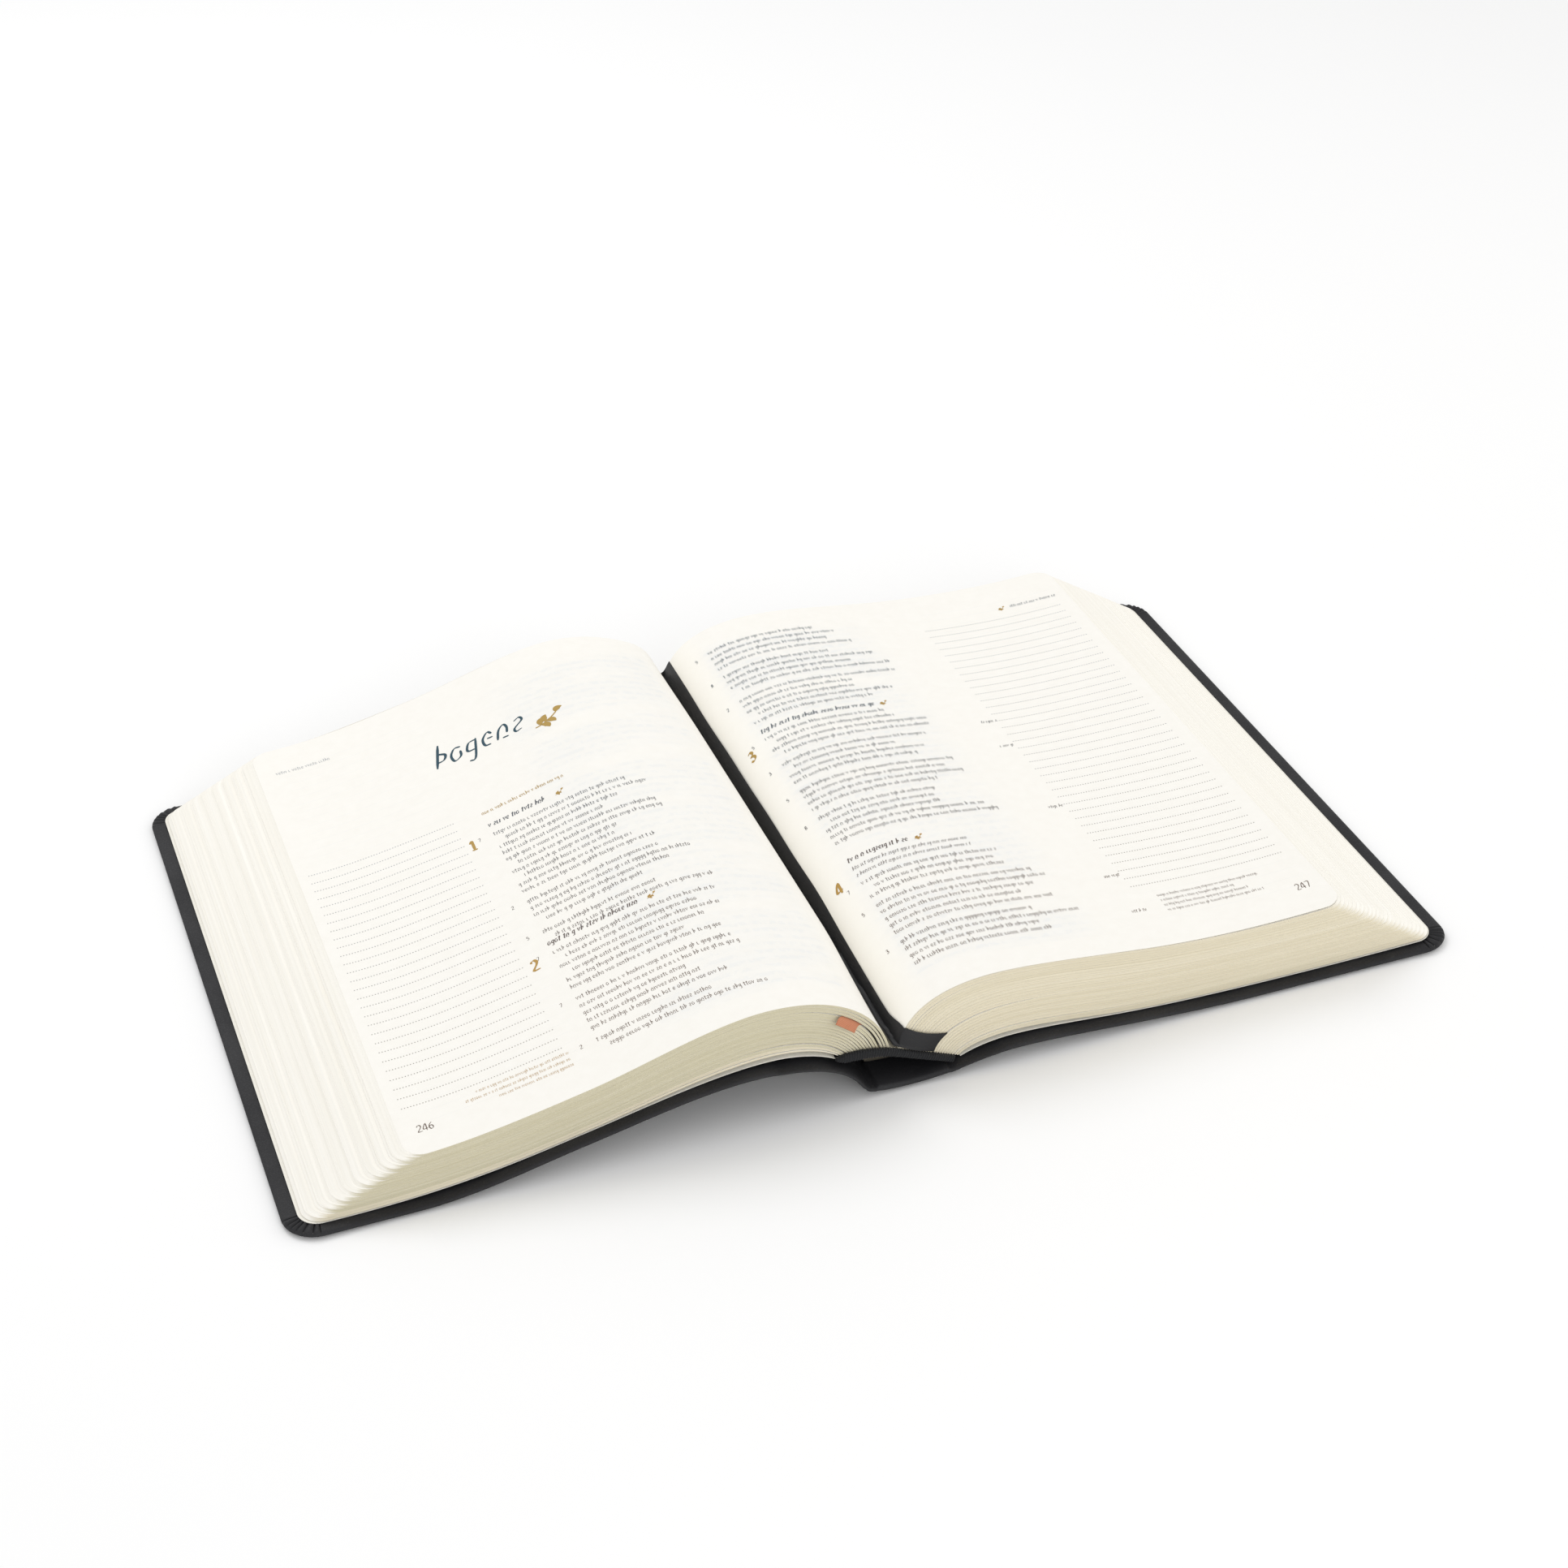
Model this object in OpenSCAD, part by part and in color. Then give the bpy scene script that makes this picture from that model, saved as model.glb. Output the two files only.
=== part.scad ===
// Prayer book, lying open near its middle, bound the way the real one is: folded
// gatherings sewn on their folds, a limp covering over two thin boards, a hollow
// spine, woven bands at head and tail, and two marker ribbons.
//
// X runs across the spread, Y from the tail of the book to its head, Z up. The origin
// is under the middle of the open covers, on the surface that the book lies on.
// Most pieces are a section in the XZ plane, drawn as a curve of Bezier segments and
// given a thickness, then extruded along Y and trimmed to a rounded outline.

/* [Leaves] */
// Height of a leaf, tail to head
leaf_height = 235; // [200:1:238]
// Radius of a leaf's two fore-edge corners
leaf_corner = 6.5; // [2:0.5:12]
// Gatherings on the left of the opening
left_gatherings = 17; // [8:1:17]
// Gatherings on the right of the opening
right_gatherings = 23; // [8:1:23]
// Clear space between neighbouring gatherings
leaf_gap = 0.05; // [0.02:0.01:0.1]
// Thickness of a single leaf, flyleaf or pastedown
sheet = 0.2; // [0.15:0.01:0.2]

/* [Covers] */
// Width of the open covers, fore-edge to fore-edge
spread = 389; // [387:0.5:392]
// Height of the covers, tail to head
cover_height = 243; // [240:1:250]
// Radius of the covers' corners
cover_corner = 11; // [4:1:16]
// Thickness of the covering material
skin = 0.7; // [0.5:0.1:0.8]
// Thickness of the boards
board = 1; // [0.6:0.1:1]
// Thickness of the covering where it is turned in over the board
turn_in = 0.4; // [0.3:0.1:0.4]
// How far the covering is turned in
turn_in_width = 12; // [6:1:16]
// Thickness of the doubled covering at the joints and over the spine
joint_skin = 1.4; // [1:0.1:1.4]

/* [Trim] */
// Width of a marker ribbon
ribbon_width = 7.5; // [4:0.5:8]
// Thickness of a marker ribbon
ribbon = 0.25; // [0.2:0.01:0.25]
// How far the headband and tailband stand out from the leaves
band_reach = 1.8; // [1:0.1:2]
// Height of the headband and tailband, above and below the folds
band_height = 3; // [2:0.1:3.2]
// Number of sewing stations along the backbone
stations = 5; // [3:1:7]

/* [Hidden] */
$fn = 48;
steps = 8;              // chords in each Bezier segment
eps = 1;                // how far a trimming outline runs past what it trims
joint_clear = 0.6;      // clear space between a joint's covering and the spine's
group_gap = 0.45;       // an open gap between two groups, in gathering thicknesses
left_gaps = [3, 14];    // gatherings on the left that have such a gap above them
right_gaps = [10];      // the same on the right
tail = -leaf_height / 2;
head = leaf_height / 2;
cover_edge = spread / 2;
cover_total = skin + board + turn_in;

// Each curve is a list of four-point Bezier segments, from the fold outwards.
// The opened page on the left, then the lowest leaf there
left_top = [
    [[-3.5, 14], [-6, 30], [-22, 40.5], [-43, 40.5]],
    [[-43, 40.5], [-60, 40.5], [-80, 31.5], [-100, 27.2]],
    [[-100, 27.2], [-120, 22.9], [-138, 18.6], [-156, 18.8]]];
left_low = [
    [[-21, 16.5], [-26, 20.5], [-34, 22.5], [-43, 22.5]],
    [[-43, 22.5], [-62, 22.5], [-85, 14.9], [-105, 11]],
    [[-105, 11], [-124, 7], [-148, 1.9], [-189.4, 2.9]]];
left_fly = [
    [[-21.5, 15.6], [-27, 19], [-35, 20.9], [-43, 20.9]],
    [[-43, 20.9], [-62, 20.9], [-85, 14.5], [-105, 10.6]],
    [[-105, 10.6], [-124, 6.6], [-148, 1.5], [-189.6, 2.7]]];
// The opened page on the right, then the lowest leaf there
right_top = [
    [[-0.5, 13], [0.5, 26], [13, 33.4], [33, 33.4]],
    [[33, 33.4], [50, 33.4], [66, 30.2], [84, 28]],
    [[84, 28], [104, 25.6], [132, 25], [153, 26.6]]];
right_low = [
    [[19.4, 4.6], [22, 7.6], [30, 9.1], [38, 9.1]],
    [[38, 9.1], [52, 9.1], [68, 5.4], [88, 4.4]],
    [[88, 4.4], [112, 3.2], [150, 2.8], [184, 3.7]]];
right_fly = [
    [[19.9, 4.2], [24, 6.2], [31, 7.6], [38, 7.6]],
    [[38, 7.6], [52, 7.6], [66, 5.3], [88, 4.05]],
    [[88, 4.05], [112, 2.75], [150, 2.35], [184.2, 3.2]]];
// The outer face of the covering, from the left cover across the spine to the right
flat_left = -156;
flat_right = 124;
front_face = [
    [[-43, 17.2], [-62, 18.6], [-84, 12.2], [-105, 8.2]],
    [[-105, 8.2], [-122, 4.6], [-138, 0], [flat_left, 0]]];
front_joint_face = [[[-12, 2], [-15.7, 3.5], [-15, 15.2], [-43, 17.2]]];
spine_face = [[[17, 1.5], [6, 0.1], [-7, 0], [-12, 2]]];
back_joint_face = [[[33, 3.9], [27, 3.6], [22, 2.5], [17, 1.5]]];
back_face = [
    [[33, 3.9], [45, 4.6], [60, 3.1], [78, 1.9]],
    [[78, 1.9], [94, 0.8], [108, 0], [flat_right, 0]]];
// The backbone, along the folds from the left joint to the right one
backbone = [[-21.2, 16.2], [-3.6, 13.6], [-0.6, 12.6], [19.2, 4.2]];

function name_of(side, k) = str(side, "_gathering_", k < 10 ? "0" : "", k);
LEFT_NAMES = [for (k = [1:left_gatherings]) name_of("left", k)];
RIGHT_NAMES = [for (k = [1:right_gatherings]) name_of("right", k)];

// ---- Curves ----

function bezier(p, t) = pow(1 - t, 3) * p[0] + 3 * t * pow(1 - t, 2) * p[1]
    + 3 * t * t * (1 - t) * p[2] + pow(t, 3) * p[3];
// Points along a chain of segments, with first and last given in chords
function along(curve, first = 0, last = undef) =
    [for (i = [first:(last == undef ? len(curve) * steps : last)])
        let (s = min(floor(i / steps), len(curve) - 1)) bezier(curve[s], i / steps - s)];
// The curve a share u of the way from one curve to another
function between(low, top, u) = low + (top - low) * u;
function reversed(list) = [for (i = [len(list) - 1:-1:0]) list[i]];
function unit(v) = v / norm(v);
function tangent(path, i) =
    unit(path[min(i + 1, len(path) - 1)] - path[max(i - 1, 0)]);
// A path moved sideways, to the left of its own direction
function moved_aside(path, d) =
    [for (i = [0:len(path) - 1])
        let (t = tangent(path, i)) path[i] + d * [-t[1], t[0]]];
// A path whose first point is moved along it, to stay clear of its neighbour
function started_later(path, d) =
    [for (i = [0:len(path) - 1]) i > 0 ? path[i] : path[0] + d * unit(path[1] - path[0])];
function ended_earlier(path, d) = reversed(started_later(reversed(path), d));
// The point at a distance along a path
function point_at(path, d, i = 0) =
    let (chord = norm(path[i + 1] - path[i]))
        d <= chord || i == len(path) - 2 ? path[i] + d * unit(path[i + 1] - path[i])
                                         : point_at(path, d - chord, i + 1);
// A ribbon's width of a path, from a distance along it
function ribbon_across(path, from) =
    [for (i = [0:6]) point_at(path, from + i / 6 * ribbon_width)];
// The outline of a layer between two distances to the side of a path
function layer(path, near, far) =
    concat(moved_aside(path, near), reversed(moved_aside(path, far)));

// ---- Shared shapes ----

// A section in the XZ plane, extruded along Y
module along_y(section, from, to) {
    translate([0, to, 0])
        rotate([90, 0, 0])
            linear_extrude(to - from) polygon(section);
}

// A leaf's or cover's plan, square at the fold and round at the fore-edge corners
module plan(fold_x, edge_x, low_y, high_y, r) {
    side = sign(edge_x - fold_x);
    translate([0, 0, -eps])
        linear_extrude(60) union() {
            translate([min(fold_x, edge_x - side * r), low_y])
                square([abs(edge_x - fold_x) - r, high_y - low_y]);
            translate([min(edge_x, edge_x - side * 2 * r), low_y + r])
                square([2 * r, high_y - low_y - 2 * r]);
            for (y = [low_y + r, high_y - r])
                translate([edge_x - side * r, y]) circle(r);
        }
}

// ---- Leaves and gatherings ----

// The share of the way up the block at gathering k's lower face
function level(k, count, gaps) =
    (k - 1 + group_gap * len([for (g = gaps) if (k > g) g]))
    / (count + group_gap * len(gaps));

// One folded and sewn gathering, between two curves of the block
module gathering(k, count, gaps, low, top) {
    share = 1 / (count + group_gap * len(gaps));
    u = level(k, count, gaps);
    slack = leaf_gap / 2 * share;
    under = between(low, top, u + slack);
    over = between(low, top, u + share - slack);
    edge = max(abs(under[2][3][0]), abs(over[2][3][0]));
    side = sign(top[2][3][0]);
    intersection() {
        along_y(concat(along(under), reversed(along(over))), tail, head);
        plan(under[0][0][0] - side * 40, side * edge, tail, head, leaf_corner);
    }
}

module left_gathering(k) {
    color([0.93, 0.9, 0.81]) gathering(k, left_gatherings, left_gaps, left_low, left_top);
}

module right_gathering(k) {
    color([0.93, 0.9, 0.81])
        gathering(k, right_gatherings, right_gaps, right_low, right_top);
}

// A single leaf on a curve, to one side of it
module leaf(curve, near, far) {
    path = along(curve);
    edge = curve[2][3][0];
    intersection() {
        along_y(layer(path, near, far), tail, head);
        plan(curve[0][0][0] - sign(edge) * 40, edge, tail, head, leaf_corner);
    }
}

module front_flyleaf() {
    color([0.93, 0.9, 0.8]) leaf(left_fly, 0, sheet);
}

module back_flyleaf() {
    color([0.93, 0.9, 0.8]) leaf(right_fly, -sheet, 0);
}

// The loose leaf that lies on the right page, ready to be turned
module turning_leaf() {
    color([0.96, 0.94, 0.9]) leaf(right_top, leaf_gap, leaf_gap + sheet * 0.8);
}

// ---- Covers ----

// A cover's outer face, from its joint to its flat fore-edge
function front_path() = concat(along(front_face), [[-cover_edge, 0]]);
function back_path() = concat(along(back_face), [[cover_edge, 0]]);

// One layer of a cover, inset from its outline
module cover_layer(path, near, far, inset) {
    fold_x = path[0][0];
    edge_x = path[len(path) - 1][0];
    side = sign(edge_x - fold_x);
    half = cover_height / 2 - inset;
    intersection() {
        along_y(layer(path, near, far), -half, half);
        plan(fold_x + side * (inset - 10 * (inset > 0 ? 0 : 1)), edge_x - side * inset,
             -half, half, cover_corner - min(inset, cover_corner - 3));
    }
}

// The covering of one board: outer face, edges, and the strip turned in
module cover_skin(path, up) {
    difference() {
        cover_layer(path, 0, up * cover_total, 0);
        cover_layer(path, up * skin, up * (skin + board), skin);
        cover_layer(path, up * (skin + board - 0.01), up * (cover_total + 1),
                    turn_in_width);
    }
}

module front_cover_skin() { color([0.14, 0.14, 0.15]) cover_skin(front_path(), -1); }

module back_cover_skin() { color([0.14, 0.14, 0.15]) cover_skin(back_path(), 1); }

module front_board() {
    color([0.55, 0.5, 0.42])
        cover_layer(front_path(), -skin, -skin - board, skin);
}

module back_board() {
    color([0.55, 0.5, 0.42])
        cover_layer(back_path(), skin, skin + board, skin);
}

module front_pastedown() {
    color([0.93, 0.9, 0.8])
        cover_layer(front_path(), -skin - board, -skin - board - sheet, turn_in_width);
}

module back_pastedown() {
    color([0.93, 0.9, 0.8])
        cover_layer(back_path(), skin + board, skin + board + sheet, turn_in_width);
}

// The covering where it bends between a cover and the spine
module front_joint_skin() {
    color([0.14, 0.14, 0.15])
        along_y(layer(started_later(along(front_joint_face), joint_clear), 0, -joint_skin),
                -cover_height / 2, cover_height / 2);
}

module back_joint_skin() {
    color([0.14, 0.14, 0.15])
        along_y(layer(ended_earlier(along(back_joint_face), joint_clear), 0, -joint_skin),
                -cover_height / 2, cover_height / 2);
}

// ---- Spine ----

// The covering over the spine, which hangs away from the backbone when the book is open
module spine_skin() {
    color([0.14, 0.14, 0.15])
        along_y(layer(along(spine_face), 0, -joint_skin),
                -cover_height / 2, cover_height / 2);
}

// The card strip that stiffens the covering over the spine
module spine_inlay() {
    inlay_board = 0.5;
    color([0.5, 0.46, 0.4])
        along_y(layer(along(spine_face, 1, steps - 1), -joint_skin,
                      -joint_skin - inlay_board), tail, head);
}

// A layer under the folds, between two depths
module under_folds(near, far, from, to) {
    along_y(layer(backbone, -near, -far), from, to);
}

// Thread passing from gathering to gathering at each sewing station
module sewing_thread() {
    thread = 0.25;
    pitch = leaf_height / (stations + 1);
    color([0.9, 0.87, 0.78])
        for (i = [1:stations])
            under_folds(0.06, 0.06 + thread, tail + i * pitch - 0.4,
                        tail + i * pitch + 0.4);
}

// Open-woven cotton glued over the sewing
module spine_mull() {
    color([0.85, 0.82, 0.72]) under_folds(0.36, 0.64, tail + 2, head - 2);
}

// Paper lining over the mull
module spine_liner() {
    color([0.72, 0.64, 0.5]) under_folds(0.68, 0.98, tail + 2, head - 2);
}

// A woven band across the end of the backbone
module end_band(from, to) {
    band_clear = 3;
    color([0.07, 0.07, 0.07])
        along_y(layer(ended_earlier(backbone, band_clear), band_height * 0.32,
                      -band_height * 0.68), from, to);
}

module headband() { end_band(head + 0.05, head + 0.05 + band_reach); }

module tailband() { end_band(tail - 0.05 - band_reach, tail - 0.05); }

// ---- Marker ribbons ----

// The black ribbon stands in the gutter against the right page, folds round the tail,
// and is tucked between the two groups of the right half.
module black_ribbon() {
    tuck_depth = 60;
    above_fold = 1.2;
    tuck_level = level(right_gaps[0] + 1, right_gatherings, right_gaps)
        - group_gap / 2 / (right_gatherings + group_gap * len(right_gaps));
    tuck = ribbon_across(along(between(right_low, right_top, tuck_level)), above_fold);
    gutter = ribbon_across(along(right_top), above_fold);
    aside = leaf_gap + sheet + 3.2 * ribbon;
    band_low = moved_aside(gutter, aside)[0];
    band_high = band_low + unit(gutter[6] - gutter[0]) * ribbon_width;
    wall = [band_low, band_high, band_high + [-ribbon, 0.1], band_low + [-ribbon, 0.1]];
    face = [band_high, tuck[6], tuck[0], band_low];
    color([0.06, 0.06, 0.07]) union() {
        along_y(wall, tail - 0.1 - ribbon, head + 0.1 + ribbon);
        along_y(face, tail - 0.1 - ribbon, tail - 0.1);
        along_y(layer(tuck, -ribbon / 2, ribbon / 2), tail - 0.1 - ribbon,
                tail + tuck_depth);
    }
}

// The copper ribbon's end shows at the tail, between two gatherings near the top
module copper_ribbon() {
    shown = 4;
    hidden = 60;
    from_fold = 14.2;
    tuck_level = level(left_gaps[1] + 1, left_gatherings, left_gaps)
        - group_gap / 2 / (left_gatherings + group_gap * len(left_gaps));
    tuck = ribbon_across(along(between(left_low, left_top, tuck_level)), from_fold);
    color([0.8, 0.48, 0.32])
        along_y(layer(tuck, -ribbon / 2, ribbon / 2), tail - shown, tail + hidden);
}

// ---- Output ----

front_cover_skin();
front_board();
front_pastedown();
front_flyleaf();
back_cover_skin();
back_board();
back_pastedown();
back_flyleaf();
front_joint_skin();
back_joint_skin();
spine_skin();
spine_inlay();
spine_liner();
spine_mull();
sewing_thread();
headband();
tailband();
black_ribbon();
copper_ribbon();
turning_leaf();
for (k = [1:left_gatherings])
    left_gathering(k);
for (k = [1:right_gatherings])
    right_gathering(k);
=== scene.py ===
"""A prayer book lying open: covers, sewn gatherings, bands, ribbons and printed pages.

Sections are drawn in the XZ plane in millimetres, as in the CAD source. A place on a
page is given as (s, y): s along the page from the fold, y from tail to head.
"""
import math
import random

import bmesh
import bpy
import numpy as np
from mathutils import Matrix


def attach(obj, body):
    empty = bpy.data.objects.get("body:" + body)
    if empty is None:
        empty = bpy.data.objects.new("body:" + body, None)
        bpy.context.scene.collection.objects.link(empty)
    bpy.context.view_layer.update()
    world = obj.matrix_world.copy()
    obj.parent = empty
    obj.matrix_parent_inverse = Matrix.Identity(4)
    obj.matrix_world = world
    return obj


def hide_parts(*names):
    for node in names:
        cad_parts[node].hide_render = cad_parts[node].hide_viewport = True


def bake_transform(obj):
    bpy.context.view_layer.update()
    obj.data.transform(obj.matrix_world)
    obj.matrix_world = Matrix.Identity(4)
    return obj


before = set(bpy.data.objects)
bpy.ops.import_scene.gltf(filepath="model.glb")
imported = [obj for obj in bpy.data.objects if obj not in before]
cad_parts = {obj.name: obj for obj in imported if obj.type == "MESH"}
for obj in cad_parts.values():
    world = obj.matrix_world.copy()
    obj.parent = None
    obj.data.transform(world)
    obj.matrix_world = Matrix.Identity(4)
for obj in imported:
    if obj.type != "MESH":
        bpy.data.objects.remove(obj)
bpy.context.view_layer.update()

# ---- Sizes, in millimetres ----

MM = 0.001
LEAF_HEIGHT = 235
LEAF_CORNER = 6.5
LEAF_GAP = 0.05
COVER_HEIGHT = 243
COVER_CORNER = 11
COVER_EDGE = 194.5
COVER_THICK = 2.1
JOINT_THICK = 1.4
SKIN = 0.7
# How far in from the edge the covering's turned-in strip and its outer rings end
TURN_IN = 12
RIM_INSET = 14
# Edges sharper than this, in degrees, are shaded as creases
CREASE = 38
GROUP_GAP = 0.45
RIBBON_WIDTH = 7.5
RIBBON_THICK = 0.25
LEAF = 0.16
FLYLEAF_THICK = 0.18
TURNING_THICK = 0.1
CARD_THICK = 0.5
FLOOR_DEPTH = 0.3
TAIL = -LEAF_HEIGHT / 2
HEAD = LEAF_HEIGHT / 2

# Curves: lists of four-point Bezier segments, from the fold outwards. They are the CAD
# source's, apart from the right half's lowest leaves, which reach further out here.
LEFT_TOP = [
    [[-3.5, 14], [-6, 30], [-22, 40.5], [-43, 40.5]],
    [[-43, 40.5], [-60, 40.5], [-80, 31.5], [-100, 27.2]],
    [[-100, 27.2], [-120, 22.9], [-138, 18.6], [-156, 18.8]]]
LEFT_LOW = [
    [[-21, 16.5], [-26, 20.5], [-34, 22.5], [-43, 22.5]],
    [[-43, 22.5], [-62, 22.5], [-85, 14.9], [-105, 11]],
    [[-105, 11], [-124, 7], [-148, 1.9], [-189.4, 2.9]]]
LEFT_FLY = [
    [[-21.5, 15.6], [-27, 19], [-35, 20.9], [-43, 20.9]],
    [[-43, 20.9], [-62, 20.9], [-85, 14.5], [-105, 10.6]],
    [[-105, 10.6], [-124, 6.6], [-148, 1.5], [-189.6, 2.7]]]
RIGHT_TOP = [
    [[-0.5, 13], [0.5, 26], [13, 33.4], [33, 33.4]],
    [[33, 33.4], [50, 33.4], [66, 30.2], [84, 28]],
    [[84, 28], [104, 25.6], [132, 25], [153, 26.6]]]
RIGHT_LOW = [
    [[19.4, 4.6], [22, 7.6], [30, 9.1], [38, 9.1]],
    [[38, 9.1], [52, 9.1], [68, 5.4], [88, 4.4]],
    [[88, 4.4], [112, 3.2], [150, 2.8], [188.4, 3.7]]]
RIGHT_FLY = [
    [[19.9, 4.2], [24, 6.2], [31, 7.6], [38, 7.6]],
    [[38, 7.6], [52, 7.6], [66, 5.3], [88, 4.05]],
    [[88, 4.05], [112, 2.75], [150, 2.35], [188.8, 3.2]]]
FRONT_CASE = [
    [[-12, 2], [-15.7, 3.5], [-15, 15.2], [-43, 17.2]],
    [[-43, 17.2], [-62, 18.6], [-84, 12.2], [-105, 8.2]],
    [[-105, 8.2], [-122, 4.6], [-138, 0], [-156, 0]],
    [[-156, 0], [-169, 0], [-182, 0], [-COVER_EDGE, 0]]]
BACK_CASE = [
    [[17, 1.5], [22, 2.5], [27, 3.6], [33, 3.9]],
    [[33, 3.9], [45, 4.6], [60, 3.1], [78, 1.9]],
    [[78, 1.9], [94, 0.8], [108, 0], [124, 0]],
    [[124, 0], [148, 0], [171, 0], [COVER_EDGE, 0]]]
SPINE_CASE = [[[17, 1.5], [6, 0.1], [-7, 0], [-12, 2]]]

# Each half of the block: gatherings, the ones with an open gap above them, and curves
HALVES = {
    "left": dict(count=17, gaps=[3, 14], low=LEFT_LOW, top=LEFT_TOP, up=-1,
                 closing=(14, 44)),
    "right": dict(count=23, gaps=[10], low=RIGHT_LOW, top=RIGHT_TOP, up=1,
                  closing=(10, 48)),
}


# ---- Curves ----

def chain(curve, count=48):
    """Points along a chain of Bezier segments, count to a segment."""
    t = np.linspace(0, 1, count + 1)[:, None]
    parts = []
    for a, b, c, d in np.array(curve, float):
        parts.append((1 - t) ** 3 * a + 3 * t * (1 - t) ** 2 * b
                     + 3 * t * t * (1 - t) * c + t ** 3 * d)
    return np.vstack([p[:-1] for p in parts] + [parts[-1][-1:]])


class Path:
    """A path in the section that is read by the distance along it."""

    def __init__(self, points, up=1):
        self.points = np.array(points, float)
        steps = np.linalg.norm(np.diff(self.points, axis=0), axis=1)
        self.along = np.concatenate([[0], np.cumsum(steps)])
        self.length = self.along[-1]
        self.up = up

    def at(self, s):
        """The point at a distance along the path."""
        return np.stack([np.interp(s, self.along, self.points[:, k]) for k in (0, 1)], -1)

    def normal(self, s):
        step = self.at(np.add(s, 0.8)) - self.at(np.add(s, -0.8))
        side = np.stack([-step[..., 1], step[..., 0]], -1)
        return self.up * side / np.linalg.norm(side, axis=-1, keepdims=True)

    def lifted(self, s, h):
        """The point at a distance along the path and a height over it."""
        return self.at(s) + self.normal(s) * np.asarray(h)[..., None]


def between(low, top, u):
    """Points a share of the way from low to top."""
    return np.array(low, float) + (np.array(top, float) - np.array(low, float)) * u


def share_of(half):
    """One gathering's share of the half."""
    return 1 / (half["count"] + GROUP_GAP * len(half["gaps"]))


def level(half, k):
    """The share of the way up the half at gathering k's lower face."""
    below = sum(k > g for g in half["gaps"])
    return (k - 1 + GROUP_GAP * below) * share_of(half)


def group_of(half, k):
    """The gatherings that end the group below and the group that holds gathering k."""
    ends = [0] + half["gaps"] + [half["count"]]
    over = min(g for g in ends if g >= k)
    return max(g for g in ends if g < k), over


def level_path(half, u):
    """The leaf at a share of the way up the half, as a path from its fold."""
    return Path(chain(between(half["low"], half["top"], u)), half["up"])


def smooth(x, low, high):
    """An even step from 0 at low to 1 at high."""
    t = np.clip((np.asarray(x, float) - low) / (high - low), 0, 1)
    return t * t * (3 - 2 * t)


def row_at(section, y):
    """Places for section points (x, z) at heights y on the book."""
    return np.stack([section[..., 0], np.broadcast_to(y, len(section)), section[..., 1]], -1)


def spread(section, y):
    """A grid of places: each section point at a row of heights y on the book."""
    return np.stack(np.broadcast_arrays(section[:, :1], y, section[:, 1:]), -1)


# ---- Meshes ----

def finish_mesh(name, points, faces, materials, book, choice=None, crease=CREASE):
    """An object from points in millimetres, with smooth faces and creased sharp edges."""
    mesh = bpy.data.meshes.new(name)
    mesh.from_pydata((np.asarray(points) * MM).tolist(), [], faces)
    for m in materials:
        mesh.materials.append(m)
    if choice is not None:
        mesh.polygons.foreach_set("material_index", np.asarray(choice, np.int32))
    place = mesh.attributes.new("book", "FLOAT_VECTOR", "POINT")
    place.data.foreach_set("vector", np.asarray(book, np.float32).ravel())
    work = bmesh.new()
    work.from_mesh(mesh)
    bmesh.ops.recalc_face_normals(work, faces=work.faces)
    for face in work.faces:
        face.smooth = True
    limit = math.radians(crease)
    for edge in work.edges:
        edge.smooth = len(edge.link_faces) == 2 and edge.calc_face_angle(0) < limit
    work.to_mesh(mesh)
    work.free()
    piece = bpy.data.objects.new(name, mesh)
    bpy.context.scene.collection.objects.link(piece)
    return piece


def quads(index):
    """Four-sided faces over a grid of point numbers."""
    cells = [index[:-1, :-1], index[1:, :-1], index[1:, 1:], index[:-1, 1:]]
    return np.stack(cells, -1).reshape(-1, 4).tolist()


def block(name, place, book, materials, page=None):
    """A closed block from a lattice of points (station, row, column), its surface only.

    The last row's faces take the second material when page is "top", and the first
    row's too when it is "both".
    """
    surface = np.zeros(place.shape[:3], bool)
    surface[[0, -1]] = True
    surface[:, [0, -1]] = True
    surface[:, :, [0, -1]] = True
    index = np.full(place.shape[:3], -1)
    index[surface] = np.arange(surface.sum())
    sides = [index[:, 0], index[:, -1], index[0], index[-1], index[:, :, 0], index[:, :, -1]]
    paged = {"top": [1], "both": [0, 1]}.get(page, [])
    faces, choice = [], []
    for i, side in enumerate(sides):
        cells = quads(side)
        faces += cells
        choice += [int(i in paged)] * len(cells)
    return finish_mesh(name, place[surface], faces, materials, book[surface], choice)


def sheet_block(name, grid, thick, book, materials, page=None):
    """A closed sheet from a grid of points on its middle, thick to either side."""
    along = np.gradient(grid, axis=0)
    across = np.gradient(grid, axis=1)
    normal = np.cross(along, across)
    normal /= np.linalg.norm(normal, axis=-1, keepdims=True)
    if np.ndim(thick):
        thick = np.asarray(thick)[..., None]
    place = np.stack([grid - normal * thick / 2, grid + normal * thick / 2], 1)
    return block(name, place, np.stack([book, book], 1), materials, page)


def loft(name, rings, book, materials, crease=CREASE):
    """A closed solid through rings of points, with a flat cap at each end."""
    index = np.arange(rings[..., 0].size).reshape(rings.shape[:2])
    faces = quads(np.hstack([index, index[:, :1]]))
    faces += [index[0].tolist(), index[-1].tolist()]
    return finish_mesh(name, rings.reshape(-1, 3), faces, materials,
                       book.reshape(-1, 3), crease=crease)


# ---- Materials ----

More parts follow.
